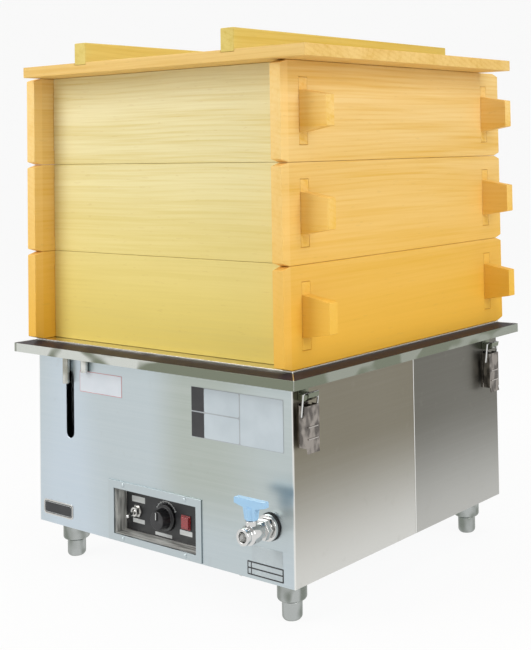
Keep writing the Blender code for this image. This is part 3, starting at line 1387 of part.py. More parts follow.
def build_lid(lid):
    """The loose lid: one panel with two housings across it and a batten in each."""
    low = (LID_LEFT, LID_FRONT, 0)
    high = (LID_RIGHT, LID_REAR, LID_THICKNESS)
    panel = add_part("lid_panel", block_mesh([(low, high)]), "lid_wood", lid)
    floor = LID_THICKNESS - BATTEN_HOUSING_DEPTH
    housings = []
    left_x = LID_LEFT + LEFT_BATTEN_INSET
    right_x = LID_RIGHT - RIGHT_BATTEN_INSET
    for name, x in (("lid_batten_left", left_x), ("lid_batten_right", right_x)):
        left = x - BATTEN_WIDTH / 2
        right = x + BATTEN_WIDTH / 2
        near = (left - GAP, LID_FRONT - OVERRUN, floor)
        far = (right + GAP, LID_REAR + OVERRUN, LID_THICKNESS + OVERRUN)
        housings.append((near, far))
        top = LID_THICKNESS + BATTEN_ABOVE_LID
        profile = [
            (left, floor + GAP),
            (right, floor + GAP),
            (right, top - BATTEN_EDGE),
            (right - BATTEN_EDGE, top),
            (left + BATTEN_EDGE, top),
            (left, top - BATTEN_EDGE),
        ]
        mesh = plate_mesh([profile], LID_REAR - LID_FRONT)
        middle = (0, (LID_FRONT + LID_REAR) / 2, 0)
        add_part(name, mesh, "lid_wood", lid, middle, (QUARTER_TURN, 0, 0))
    combine(panel, add_cutter("batten_housings", block_mesh(housings), lid), "DIFFERENCE")


def main():
    """Builds every sub-part around the cabinet and shifts the whole onto its origin."""
    clear_scene()
    cabinet = add_empty("cabinet_frame", (-ORIGIN_X, -ORIGIN_Y, 0))
    build_casings(cabinet)
    build_base_plate(cabinet)
    build_feet(cabinet)
    build_rim_tray(cabinet)
    build_tank(cabinet)
    build_heater(cabinet)
    build_pipes(cabinet)
    build_bezel(cabinet)
    build_control_plate(cabinet)
    build_switch(cabinet)
    build_thermostat(cabinet)
    build_lamp(cabinet)
    build_valve(cabinet)
    build_gland(cabinet)
    for side, side_name in ((-1, "left"), (1, "right")):
        for end_name, y in latch_places(side):
            build_latch(end_name + side_name, side, y, cabinet)
    build_stack(cabinet)


main()
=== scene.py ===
# %% [markdown]
# # A water-bath steamer with wooden steam frames
#
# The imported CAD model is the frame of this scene: a steel cabinet on screw feet, three square
# steam frames and a loose lid. The cabinet's own centre line stands at CENTRE_X, CENTRE_Y, and
# FRONT, REAR and SIDE are its walls as measured from that line; BASE is the height of its bottom.
# This lesson gives every node a worked-out finish, puts finer round pieces in place of the faceted
# ones, adds the thin plates and printed marks that a solid model leaves out, and sets a plain
# studio with the camera at the photograph's angle.

# %% The frame
import math

import bpy
import numpy as np
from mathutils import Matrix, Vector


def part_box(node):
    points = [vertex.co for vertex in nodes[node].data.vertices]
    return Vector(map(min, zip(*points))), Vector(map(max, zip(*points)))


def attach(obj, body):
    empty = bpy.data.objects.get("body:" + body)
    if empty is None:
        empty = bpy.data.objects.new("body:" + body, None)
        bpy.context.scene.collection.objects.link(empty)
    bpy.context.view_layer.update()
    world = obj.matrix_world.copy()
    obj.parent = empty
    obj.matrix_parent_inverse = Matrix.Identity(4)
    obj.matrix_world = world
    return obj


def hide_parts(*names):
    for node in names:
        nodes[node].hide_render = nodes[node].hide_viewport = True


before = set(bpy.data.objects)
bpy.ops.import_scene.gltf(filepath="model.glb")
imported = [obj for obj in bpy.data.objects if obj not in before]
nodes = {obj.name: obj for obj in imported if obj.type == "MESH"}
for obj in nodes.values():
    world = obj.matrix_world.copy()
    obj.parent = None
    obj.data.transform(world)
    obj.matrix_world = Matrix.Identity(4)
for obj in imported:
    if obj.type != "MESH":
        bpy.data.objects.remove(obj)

for startup_name in ("Cube", "Light", "Camera"):
    startup = bpy.data.objects.get(startup_name)
    if startup is not None:
        bpy.data.objects.remove(startup, do_unlink=True)
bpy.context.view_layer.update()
CENTRE_X, CENTRE_Y = -0.0038, 0.01095
FRONT, REAR, SIDE, BASE = -0.211, 0.211, 0.225, 0.048
X, Y, Z = 0, 1, 2

# %% [markdown]
# ## Shader sums as Python sums
#
# A finish is easier to read as arithmetic than as a list of links. `Field` wraps one socket and
# takes Python's operators, so `0.3 + 0.1 * grain` makes the two Math nodes itself. `Look` holds a
# material and adds any other node: its settings first, then what goes into its sockets.


# %% Field and Look
class Field:
    """One shader value, with Python's operators for Math nodes."""

    def __init__(self, look, socket):
        self.look = look
        self.socket = socket

    def math(self, operation, *values):
        """operation(self, values...) as a Math node."""
        return self.look.node("ShaderNodeMath", {"operation": operation}, dict(enumerate(values)))

    def __add__(self, other):
        return self.math("ADD", self, other)

    def __sub__(self, other):
        return self.math("SUBTRACT", self, other)

    def __rsub__(self, other):
        return self.math("SUBTRACT", other, self)

    def __mul__(self, other):
        return self.math("MULTIPLY", self, other)

    def __pow__(self, other):
        return self.math("POWER", self, other)

    def __abs__(self):
        return self.math("ABSOLUTE", self)

    __radd__ = __add__
    __rmul__ = __mul__

    def sine(self):
        """sin(self)"""
        return self.math("SINE", self)

    def step(self, low, high):
        """0 below low, 1 above high, and 3t^2 - 2t^3 between."""
        settings = {"interpolation_type": "SMOOTHSTEP"}
        values = {"Value": self, "From Min": low, "From Max": high}
        return self.look.node("ShaderNodeMapRange", settings, values)

    def most(self, other):
        """max(self, other)"""
        return self.math("MAXIMUM", self, other)


class Look:
    """A material whose nodes are made as they are asked for."""

    def __init__(self, name):
        self.material = bpy.data.materials.new(name)
        self.material.use_nodes = True
        self.tree = self.material.node_tree
        self.shader = self.tree.nodes["Principled BSDF"]

    def feed(self, socket, value):
        """Links a Field to a socket, or sets a constant on it."""
        if isinstance(value, Field):
            self.tree.links.new(value.socket, socket)
        elif isinstance(value, tuple) and socket.type == "RGBA":
            socket.default_value = (*value, 1.0)
        else:
            socket.default_value = value

    def node(self, kind, settings=None, values=None, output=0):
        """Adds a node and gives one of its outputs as a Field."""
        node = self.tree.nodes.new(kind)
        for key, setting in (settings or {}).items():
            setattr(node, key, setting)
        for key, value in (values or {}).items():
            self.feed(node.inputs[key], value)
        return Field(self, node.outputs[output])

    def place(self):
        """The point's x, y and z in the object's own space, in metres."""
        whole = self.node("ShaderNodeTexCoord", output="Object")
        return [self.node("ShaderNodeSeparateXYZ", None, {0: whole}, axis) for axis in range(3)]

    def joined(self, x, y, z):
        """The vector (x, y, z)."""
        return self.node("ShaderNodeCombineXYZ", None, {0: x, 1: y, 2: z})

    def noise(self, x, y, z, detail=2.0, roughness=0.5):
        """Perlin noise from 0 to 1 at (x, y, z), whose scale is already in the coordinates."""
        values = {"Vector": self.joined(x, y, z), "Scale": 1.0, "Detail": detail, "Roughness": roughness}
        return self.node("ShaderNodeTexNoise", None, values)

    def mix(self, share, first, second):
        """first * (1 - share) + second * share, as a colour."""
        values = {0: share, 6: first, 7: second}
        return self.node("ShaderNodeMix", {"data_type": "RGBA"}, values, 2)

    def bump(self, height, strength, distance):
        """The normal tilted by the slope of a height field."""
        values = {"Height": height, "Strength": strength, "Distance": distance}
        return self.node("ShaderNodeBump", None, values)

    def finish(self, **values):
        """Feeds the Principled shader and gives the material."""
        for key, value in values.items():
            self.feed(self.shader.inputs[key.replace("_", " ")], value)
        return self.material

    def blended(self, second, share):
        """Output = first shader (1 - share) + second shader share."""
        blend = self.tree.nodes.new("ShaderNodeMixShader")
        self.feed(blend.inputs["Fac"], share)
        self.tree.links.new(self.shader.outputs[0], blend.inputs[1])
        self.tree.links.new(second.outputs[0], blend.inputs[2])
        self.tree.links.new(blend.outputs[0], self.tree.nodes["Material Output"].inputs["Surface"])
        return self.material


print("helpers ready")

# %% [markdown]
# ## Planed softwood
#
# The boards are straight-grained softwood. Four layers make it: broad growth bands that drift
# across the board, narrow late-wood lines (a sine of the distance across the grain, bent by slow
# noise), fine fibres, and streaks a few fibres wide. All of them are stretched along the grain, so
# the ends of a board show cut fibres without another texture. The photographed stack is paler at
# the top, so the deeper tone takes over towards the cabinet.


# %% Wood
LATE_WOOD_SPACING = 0.0065
LOW_TONE_HEIGHTS = (0.26, 0.62)
TONE_BLEND = 0.0004


def wood_look(name, pale, deep, low_deep, along, seed, ends=None, edge=None):
    """Softwood: colour = pale (1 - s) + deep s; s adds bands, lines, fibres and streaks on one axis.

    Towards the cabinet the tones pass into low_deep. ends = (distance, pale, deep, low_deep) gives
    what lies further from the centre line than the distance its own tones, and edge = (depth,
    tone) lays a brighter tone, as painted light, on what lies in front of the depth.
    """
    look = Look(name)
    place = look.place()
    run = place[along]
    across = [place[axis] for axis in range(3) if axis != along]
    if ends:
        beyond = abs(place[X] - CENTRE_X).step(ends[0], ends[0] + TONE_BLEND)
        pale, deep, low_deep = (
            look.mix(beyond, inner, outer) for inner, outer in zip((pale, deep, low_deep), ends[1:])
        )
    drift = look.noise(run * 2.1 + seed, across[0] * 5.0, across[1] * 5.0, detail=1.0)
    bands = look.noise(run * 1.1 + seed, across[0] * 26.0 + drift * 1.6, across[1] * 26.0, detail=2.0)
    phase = (across[1] + across[0] * 0.35 + drift * 0.045) * (math.tau / LATE_WOOD_SPACING)
    lines = (phase.sine() * 0.5 + 0.5) ** 3.0
    fibres = look.noise(run * 9.0 + seed, across[0] * 520.0, across[1] * 520.0, detail=3.0, roughness=0.65)
    streaks = look.noise(run * 3.5, across[0] * 130.0 + seed, across[1] * 130.0, detail=2.0)
    share = bands.step(0.32, 0.68) * 0.36 + lines * bands * 0.40 + fibres.step(0.35, 0.70) * 0.22
    share = share + streaks.step(0.45, 0.70) * 0.34
    low = 1.0 - place[Z].step(*LOW_TONE_HEIGHTS)
    first = look.mix(low * 0.9, pale, low_deep)
    second = look.mix(low * 0.6, deep, low_deep)
    colour = look.mix(share, first, second)
    # painted light: a brighter tone on the near ends of the boards, in front of the edge depth
    if edge:
        front = 1.0 - (place[Y] - CENTRE_Y).step(edge[0] - 2 * TONE_BLEND, edge[0])
        colour = look.mix(front * (0.5 - 0.4 * low), colour, edge[1])
    specks = look.noise(run * 60.0, across[0] * 420.0, across[1] * 420.0 + seed, detail=1.0)
    colour = look.mix(specks.step(0.69, 0.75) * 0.12, colour, (0.50, 0.30, 0.08))
    relief = fibres * 0.7 + lines * 0.3
    return look.finish(
        Base_Color=colour,
        Roughness=0.52 + 0.14 * fibres,
        Normal=look.bump(relief, 0.16, 0.0004),
        Specular_IOR_Level=0.30,
    )


tenon_ends = (0.2112, (0.92, 0.64, 0.24), (0.82, 0.48, 0.08), (0.87, 0.48, 0.03))
# painted light: the brighter tone on the front ends of the side boards
painted_edge_light = (-0.2130, (0.95, 0.66, 0.25))
wood_tones = {
    "front": ((0.87, 0.80, 0.50), (0.72, 0.60, 0.25), (0.78, 0.60, 0.10), X, 0.0, tenon_ends),
    "side": ((0.90, 0.66, 0.29), (0.78, 0.47, 0.10), (0.83, 0.43, 0.006), Y, 7.3, None, painted_edge_light),
    "grate": ((0.84, 0.64, 0.32), (0.70, 0.46, 0.18), (0.80, 0.56, 0.20), Y, 3.1),
    "lid": ((0.84, 0.58, 0.21), (0.70, 0.42, 0.09), (0.84, 0.60, 0.22), X, 11.7),
    "batten": ((0.74, 0.58, 0.17), (0.62, 0.45, 0.08), (0.70, 0.52, 0.14), Y, 5.9),
}
woods = {name: wood_look(name + "_wood_grain", *tones) for name, tones in wood_tones.items()}
print("wood finishes", len(woods))

# %% [markdown]
# ## Stainless sheet, bright steel and chrome
#
# A brushed sheet is a metal whose roughness and normal carry scratches drawn out one way. The
# scratches are one noise stretched about a hundred to one. A slow second noise stands for rolling
# marks and wiped fingerprints; it moves the roughness only a little, which is enough to break up
# the large reflections. The casing, the panel's recess and the tray carry painted reflections of
# the room and painted shade, whose tone changes with the place. Small pressed or turned parts
# carry painted bright and dark reflection patches.


# %% Steel
LIP_SIDE, FLANGE_LOW, FLANGE_HIGH = 0.2425, 0.2811, 0.2845


def steel_look(name, colour, roughness, along):
    """Brushed metal: roughness = base + 0.10 (streaks - 1/2) + 0.06 dull, where dull is slow noise."""
    look = Look(name)
    place = look.place()
    scales = [1500.0, 1500.0, 1500.0]
    scales[along] = 12.0
    streaks = look.noise(*[axis * scale for axis, scale in zip(place, scales)], detail=2.0)
    slow = look.noise(*[axis * 9.0 for axis in place], detail=3.0)
    spots = look.noise(*[axis * 70.0 for axis in place], detail=2.0)
    dull = slow.step(0.35, 0.75) * 0.6 + spots.step(0.55, 0.8) * 0.4
    tint = look.mix(dull * 0.35, colour, tuple(0.80 * part for part in colour))
    return look.finish(
        Base_Color=tint,
        Metallic=1.0,
        Roughness=roughness + 0.10 * (streaks - 0.5) + 0.06 * dull,
        Normal=look.bump(streaks, 0.05, 0.0002),
    )


def smooth_metal_look(name, colour, roughness):
    """Polished metal with faint turning marks and a little dullness in patches."""
    look = Look(name)
    place = look.place()
    slow = look.noise(*[axis * 55.0 for axis in place], detail=3.0)
    fine = look.noise(*[axis * 900.0 for axis in place], detail=1.0)
    worn = slow.step(0.5, 0.8)
    return look.finish(
        Base_Color=look.mix(worn * 0.3, colour, tuple(0.82 * part for part in colour)),
        Metallic=1.0,
        Roughness=roughness + 0.10 * worn + 0.03 * fine,
        Normal=look.bump(fine, 0.02, 0.0001),
    )


def casing_look(name, front_pale, front_deep, side_high, side_low):
    """Brushed casing: level streaks, and clouds and a soft dim band on the front as painted reflections;
    sides with painted shade, dimmer under the tray than near the floor; and a painted highlight, a
    bright line along the bend between them.
    """
    look = Look(name)
    x, y, z = look.place()
    fine = look.noise(x * 9.0, y * 9.0, z * 1300.0, detail=2.0)
    broad = look.noise(x * 3.0, y * 3.0, z * 330.0, detail=2.0)
    cloud = look.noise(x * 6.0 + 0.7, y * 6.0, z * 2.4, detail=1.0)
    spots = look.noise(x * 60.0, y * 60.0, z * 60.0, detail=2.0)
    off_centre = abs(x - CENTRE_X)
    on_side = off_centre.step(SIDE - 0.0007, SIDE - 0.0003)
    # painted reflection: a soft dim band across the front
    dim_reflection_band = x.step(-0.02, 0.05) * (1.0 - x.step(0.09, 0.20) * 0.6) * z.step(0.07, 0.15)
    front = look.mix(cloud.step(0.36, 0.60) * 0.4 + dim_reflection_band * 0.6, front_pale, front_deep)
    # painted shade: the sides are darker under the tray, with a painted floor reflection near the floor
    side = look.mix(z.step(0.035, 0.20) * 0.92 + 0.08 * cloud, side_low, side_high)
    tint = look.mix(on_side, front, side)
    streaks = fine * 0.45 + broad * 0.55
    tint = look.mix(streaks.step(0.40, 0.66) * (0.08 - 0.065 * on_side), tint, (0.80, 0.82, 0.82))
    tint = look.mix(spots.step(0.62, 0.80) * 0.12, tint, (0.34, 0.33, 0.28))
    # painted highlight: a bright line along the bend between front and side
    front_bend_highlight = off_centre.step(SIDE - 0.0022, SIDE - 0.0008) * (1.0 - on_side)
    side_bend_highlight = (1.0 - (y - CENTRE_Y).step(FRONT + 0.0008, FRONT + 0.0018)) * on_side
    tint = look.mix((front_bend_highlight + side_bend_highlight) * 0.75, tint, (0.86, 0.86, 0.83))
    return look.finish(
        Base_Color=tint,
        Metallic=1.0,
        Roughness=0.30 + 0.05 * (streaks - 0.5) + 0.06 * spots,
        Normal=look.bump(fine, 0.05, 0.0002),
    )


def recess_look(name, frame_tone, wall_tone):
    """The control frame: brushed like the casing in front, and half matt inside to catch light, with
    painted bright and dark reflection stripes on the inner walls.
    """
    look = Look(name)
    x, y, z = look.place()
    inside = (y - CENTRE_Y).step(FRONT + 0.0006, FRONT + 0.0014)
    fine = look.noise(x * 900.0, y * 12.0, z * 12.0, detail=2.0)
    # painted reflection: dark stripes across the bright inner walls
    bands = look.noise(x * 25.0, y * 260.0, z * 30.0, detail=1.0)
    wall = look.mix(bands.step(0.42, 0.68), wall_tone, tuple(0.4 * part for part in wall_tone))
    return look.finish(
        Base_Color=look.mix(inside, frame_tone, wall),
        Metallic=1.0 - 0.55 * inside,
        Roughness=0.26 + 0.12 * fine,
        Normal=look.bump(fine, 0.04, 0.0001),
    )


def rim_look(name, lip_pale, lip_deep, gutter_shade, seat_highlight):
    """The tray: a lip with broad painted reflection patches and painted shade on its side lips, a flange
    between two heights darkened as painted shade, and a seat brightened as a painted highlight.
    """
    look = Look(name)
    x, y, z = look.place()
    fine = look.noise(x * 10.0, y * 10.0, z * 900.0, detail=2.0)
    patches = look.noise(x * 15.0 + 2.0, y * 15.0, z * 26.0, detail=1.0)
    on_side = abs(x - CENTRE_X).step(LIP_SIDE, LIP_SIDE + 0.0005)
    # painted reflection: broad pale and dark patches along the lip; painted shade on the side lips
    lip = look.mix((patches + (x * 0.7 + 0.05) * (1.0 - on_side)).step(0.46, 0.54), lip_pale, lip_deep)
    lip = look.mix(on_side * 0.7, lip, lip_deep)
    # painted shade over the gutter between the two heights, and a painted highlight on the seat above it
    above_flange = z.step(FLANGE_HIGH, FLANGE_HIGH + 0.0003)
    on_flange = z.step(FLANGE_LOW, FLANGE_LOW + 0.0003) * (1.0 - above_flange)
    look.finish(
        Base_Color=look.mix(z.step(FLANGE_HIGH + 0.0003, FLANGE_HIGH + 0.0008), lip, seat_highlight),
        Metallic=1.0,
        Roughness=0.20 + 0.10 * fine,
        Normal=look.bump(fine, 0.04, 0.0002),
    )
    # painted shade: a near-black matt shader blended over the gutter
    matt = look.tree.nodes.new("ShaderNodeBsdfPrincipled")
    matt.inputs["Base Color"].default_value = (*gutter_shade, 1.0)
    matt.inputs["Roughness"].default_value = 0.5
    matt.inputs["Specular IOR Level"].default_value = 0.03
    return look.blended(matt, on_flange * 0.92)


def patch_look(name, bright, dim, scale):
    """Pressed or turned steel: painted dark and bright reflection patches, and painted shade towards its
    edges.
    """
    look = Look(name)
    x, y, z = look.place()
    patches = look.noise(x * scale, y * scale, z * scale * 0.6, detail=1.0)
    fine = look.noise(x * 1100.0, y * 1100.0, z * 1100.0, detail=1.0)
    edge = look.node("ShaderNodeLayerWeight", None, {"Blend": 0.5}, "Facing").step(0.35, 0.85)
    return look.finish(
        # painted reflections in patches, and painted shade where the surface turns away
        Base_Color=look.mix((patches.step(0.36, 0.62) * 0.7).most(edge * 0.8), bright, dim),
        Metallic=1.0,
        Roughness=0.16 + 0.08 * fine + 0.10 * patches,
        Normal=look.bump(fine, 0.03, 0.0001),
    )


# painted light in both casings' tones: the front pair are painted reflections; the side pair are painted
# shade under the tray and a painted floor reflection near the floor
casing_steel = casing_look(
    "casing_steel", (0.565, 0.645, 0.71), (0.43, 0.475, 0.435), (0.215, 0.195, 0.145), (0.68, 0.68, 0.65)
)
rear_steel = casing_look(
    "rear_casing_steel", (0.52, 0.56, 0.58), (0.44, 0.47, 0.47), (0.155, 0.15, 0.128), (0.50, 0.50, 0.475)
)
side_steel = steel_look("plain_steel", (0.56, 0.57, 0.56), 0.34, Z)
# the bright inner wall tone carries painted reflection
recess_steel = recess_look("recess_steel", (0.50, 0.56, 0.58), (0.90, 0.90, 0.86))
# rim tones: the lip pair are painted reflections, then the gutter's painted shade, then the seat's painted
# highlight
rim_steel = rim_look(
    "rim_steel", (0.62, 0.64, 0.60), (0.20, 0.22, 0.165), (0.040, 0.030, 0.037), (0.78, 0.76, 0.70)
)
# the seam steel is bright as a painted highlight, on the folded casing edges and the tray welds
seam_highlight_steel = smooth_metal_look("seam_highlight_steel", (0.88, 0.88, 0.85), 0.30)
rung_steel = smooth_metal_look("rung_steel", (0.46, 0.43, 0.40), 0.22)
bright_steel = smooth_metal_look("bright_steel", (0.60, 0.59, 0.57), 0.15)
chrome = smooth_metal_look("chrome_finish", (0.66, 0.66, 0.65), 0.07)
# latch, foot and spout steel: painted bright and dark reflection patches
latch_steel = patch_look("latch_steel", (0.34, 0.31, 0.28), (0.045, 0.04, 0.038), 120.0)
foot_steel = patch_look("cast_foot_steel", (0.43, 0.45, 0.44), (0.11, 0.13, 0.10), 60.0)
spout_steel = patch_look("spout_steel", (0.70, 0.71, 0.68), (0.20, 0.19, 0.13), 60.0)
dark_steel = smooth_metal_look("sheath_steel", (0.30, 0.28, 0.26), 0.40)
print("metal finishes", 13)

# %% [markdown]
# ## Plastics, rubber, glass, paint and plates
#
# Moulded plastic has a very fine pebble and a few scuffs that are duller than the rest. The lens is
# red all through with a clear coat over it. A bare plate is a smooth film in two near tones.


# %% Moulded and coated finishes
LENS_RIB_SPACING = 0.0022


def plastic_look(name, colour, roughness, grain=900.0, pebble=0.06, coat=0.0):
    """Plastic: roughness = base + pebble noise + scuffs; scuffs also lift the colour a little."""
    look = Look(name)
    place = look.place()
    fine = look.noise(*[axis * grain for axis in place], detail=1.0)
    slow = look.noise(*[axis * 38.0 for axis in place], detail=4.0, roughness=0.62)
    scuffs = slow.step(0.56, 0.74)
    lifted = tuple(part + 0.05 * (1.0 - part) for part in colour)
    return look.finish(
        Base_Color=look.mix(scuffs * 0.5, colour, lifted),
        Roughness=roughness + 0.08 * fine + 0.12 * scuffs,
        Coat_Weight=coat,
        Normal=look.bump(fine, pebble, 0.0002),
    )


def glass_look(name, colour):
    """Clear tube: transmission with a thin film of lime that dulls it in patches."""
    look = Look(name)
    place = look.place()
    film = look.noise(*[axis * 120.0 for axis in place], detail=3.0).step(0.5, 0.8)
    return look.finish(
        Base_Color=look.mix(film * 0.4, colour, (0.80, 0.82, 0.80)),
        Roughness=0.04 + 0.2 * film,
        Transmission_Weight=0.85,
        IOR=1.47,
    )


def lens_look(name, colour):
    """A red lens: darker in the middle of its ribs, under a clear coat."""
    look = Look(name)
    place = look.place()
    ribs = (place[Z] * (math.tau / LENS_RIB_SPACING)).sine() * 0.5 + 0.5
    cloud = look.noise(*[axis * 260.0 for axis in place], detail=2.0)
    dark = tuple(0.45 * part for part in colour)
    return look.finish(
        Base_Color=look.mix(ribs * 0.5 + cloud * 0.3, colour, dark),
        Roughness=0.16 + 0.1 * cloud,
        Coat_Weight=0.6,
        Normal=look.bump(ribs, 0.25, 0.0003),
    )


def film_look(name, paper, shade, roughness=0.42):
    """A bare printed film: two near tones in slow clouds, with a light grain."""
    look = Look(name)
    place = look.place()
    cloud = look.noise(*[axis * 34.0 for axis in place], detail=3.0)
    grain = look.noise(*[axis * 1400.0 for axis in place], detail=1.0)
    return look.finish(
        Base_Color=look.mix(cloud.step(0.3, 0.75), paper, shade),
        Roughness=roughness + 0.1 * grain,
        Normal=look.bump(grain, 0.03, 0.0001),
    )


panel_black = plastic_look("satin_black_plate", (0.016, 0.017, 0.019), 0.36, pebble=0.03)
knob_black = plastic_look("moulded_black", (0.014, 0.014, 0.016), 0.30)
rubber_black = plastic_look("matt_rubber", (0.022, 0.022, 0.023), 0.72, grain=600.0, pebble=0.16)
handle_blue = plastic_look("light_blue_plastic", (0.36, 0.60, 0.85), 0.30, pebble=0.03, coat=0.15)
tube_glass = glass_look("gauge_glass", (0.90, 0.95, 0.95))
red_lens = lens_look("red_lens_finish", (0.40, 0.02, 0.025))
white_film = film_look("white_film", (0.56, 0.63, 0.68), (0.51, 0.58, 0.63))
warm_film = film_look("brighter_film", (0.70, 0.74, 0.80), (0.65, 0.70, 0.76))
pale_film = film_look("pale_metal_film", (0.53, 0.59, 0.62), (0.47, 0.53, 0.56), 0.30)
red_ink = film_look("red_ink", (0.62, 0.10, 0.11), (0.52, 0.08, 0.09))
black_ink = film_look("black_ink", (0.018, 0.018, 0.021), (0.030, 0.030, 0.033))
grey_film = film_look("grey_film", (0.40, 0.43, 0.46), (0.36, 0.39, 0.42))
print_white = film_look("printed_white", (0.66, 0.68, 0.68), (0.56, 0.58, 0.58))
print("moulded and coated finishes", 13)

# %% [markdown]
# ## Turned and cut shapes as arrays
#
# Every round piece is one profile of (radius, height) points turned about an axis. Its corners are
# first rounded: each corner p with unit edges u and v becomes the parabola that starts at p + ru,
# ends at p + rv and has p as its handle. All the points of a surface come from one product of the
# profile with cos and sin, and the faces from index arithmetic, so nothing loops over points.


# %% Surface functions
def rounded(points, radius, steps=5, ring=False):
    """Corners eased: (1-t)^2 (p + ru) + 2t(1-t) p + t^2 (p + rv), r at most 0.45 of an edge."""
    points = np.asarray(points, float)
    before, after = np.roll(points, 1, axis=0), np.roll(points, -1, axis=0)
    back, ahead = before - points, after - points
    back_length = np.linalg.norm(back, axis=1, keepdims=True)
    ahead_length = np.linalg.norm(ahead, axis=1, keepdims=True)
    reach = np.minimum(radius, 0.45 * np.minimum(back_length, ahead_length))
    start = points + back / back_length * reach
    end = points + ahead / ahead_length * reach
    t = np.linspace(0.0, 1.0, steps + 1)[None, :, None]
    arcs = (1 - t) ** 2 * start[:, None] + 2 * t * (1 - t) * points[:, None] + t**2 * end[:, None]
    if ring:
        return arcs.reshape(-1, 2)
    return np.vstack([points[:1], arcs[1:-1].reshape(-1, 2), points[-1:]])


def grid_faces(rows, columns, closed_rows, closed_columns):
    """Quads of a rows x columns grid of points, counted row by row, outward for a turned profile."""
    row = np.arange(rows if closed_rows else rows - 1)[:, None]
    column = np.arange(columns if closed_columns else columns - 1)[None, :]
    next_row, next_column = (row + 1) % rows, (column + 1) % columns
    corners = [
        row * columns + column,
        next_row * columns + column,
        next_row * columns + next_column,
        row * columns + next_column,
    ]
    return np.stack(corners, axis=-1).reshape(-1, 4).tolist()


def turned(profile, steps=72, ring=False):
    """(r cos a, r sin a, h) for each profile point; a profile from pole to pole, or a closed ring."""
    profile = np.asarray(profile, float)
    angles = np.arange(steps) * (math.tau / steps)
    around = np.stack([np.cos(angles), np.sin(angles), np.ones(steps)], axis=1)
    body = profile if ring else profile[1:-1]
    lengths = np.stack([body[:, 0], body[:, 0], body[:, 1]], axis=1)
    points = (lengths[:, None, :] * around[None, :, :]).reshape(-1, 3)
    faces = grid_faces(len(body), steps, ring, True)
    if ring:
        return points, faces
    count = len(points)
    column = np.arange(steps)
    after = (column + 1) % steps
    last = count - steps
    first_fan = np.stack([np.full(steps, count), column, after], axis=1).tolist()
    last_fan = np.stack([np.full(steps, count + 1), last + after, last + column], axis=1).tolist()
    poles = [[0.0, 0.0, profile[0, 1]], [0.0, 0.0, profile[-1, 1]]]
    return np.vstack([points, poles]), faces + first_fan + last_fan


def swept(path, radius, steps, aside):
    """A tube along a path that never runs along aside: rings square to the tangent, flat ends."""
    path = np.asarray(path, float)
    tangent = np.gradient(path, axis=0)
    tangent /= np.linalg.norm(tangent, axis=1, keepdims=True)
    side = np.cross(tangent, aside)
    side /= np.linalg.norm(side, axis=1, keepdims=True)
    up = np.cross(side, tangent)
    angles = np.arange(steps) * (math.tau / steps)
    turn = np.cos(angles)[None, :, None] * side[:, None] + np.sin(angles)[None, :, None] * up[:, None]
    points = (path[:, None] + radius * turn).reshape(-1, 3)
    faces = grid_faces(len(path), steps, False, True)
    ends = [list(range(steps)), list(range(len(points) - 1, len(points) - 1 - steps, -1))]
    return points, faces + ends


def prism(outline, low, high):
    """A flat outline (counter-clockwise) between two heights, with its two faces and its walls."""
    outline = np.asarray(outline, float)
    count = len(outline)
    floor = np.column_stack([outline, np.full(count, low)])
    roof = np.column_stack([outline, np.full(count, high)])
    index = np.arange(count)
    after = (index + 1) % count
    walls = np.stack([index, after, after + count, index + count], axis=1).tolist()
    return np.vstack([floor, roof]), walls + [index[::-1].tolist(), (index + count).tolist()]


def facing(points, direction, centre):
    """Turns a shape with the axis +Z so that it points the given way, and moves it."""
    x, y, z = np.asarray(points, float).T
    turned_points = {
        "up": (x, y, z),
        "front": (x, -z, y),
        "rear": (-x, z, y),
        "side_right": (z, x, y),
        "side_left": (-z, -x, y),
    }[direction]
    return np.column_stack(turned_points) + np.asarray(centre, float)


def together(*shapes):
    """Several (points, faces) shells as one, with the later ones' indices moved on."""
    points, faces, start = [], [], 0
    for shell_points, shell_faces in shapes:
        points.append(np.asarray(shell_points, float))
        faces += [[index + start for index in face] for face in shell_faces]
        start += len(shell_points)
    return np.vstack(points), faces


piece_count = 0


def new_piece(name, shape, material, body, replaced=(), sharp=35.0):
    """Makes a mesh object from arrays, smooth below the sharp angle, that rides on a body."""
    global piece_count
    points, faces = shape
    mesh = bpy.data.meshes.new(name)
    mesh.from_pydata(np.round(points, 7).tolist(), [], faces)
    mesh.validate()
    mesh.polygons.foreach_set("use_smooth", [True] * len(mesh.polygons))
    mesh.set_sharp_from_angle(angle=math.radians(sharp))
    mesh.materials.append(material)
    piece = bpy.data.objects.new(name, mesh)
    bpy.context.scene.collection.objects.link(piece)
    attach(piece, body)
    if replaced:
        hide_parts(*replaced)
    piece_count += 1


print("surface functions ready")

# %% [markdown]
# ## Round pieces in finer steps
#
# These profiles repeat the sizes of the solid model, in metres. Each piece stands for its node, so
# the collision stays the same. `at` moves a point from the cabinet's own centre line to the frame.


# %% Feet, collars, valve, knob, lever, spouts and gland
def at(x, y, z):
    """A point measured from the cabinet's centre line, in the frame's coordinates."""
    return np.array([x + CENTRE_X, y + CENTRE_Y, z])


CORNERS = {
    "front_left": (-1.0, -1.0),
    "front_right": (1.0, -1.0),
    "rear_left": (-1.0, 1.0),
    "rear_right": (1.0, 1.0),
}
PLATE_DEPTH = 0.0198
KNOB_X, KNOB_Z = -0.003, 0.083
GRIP_LOW, GRIP_HIGH, FLUTE_DEPTH, FLUTES = 0.0038, 0.0156, 0.055, 18.0

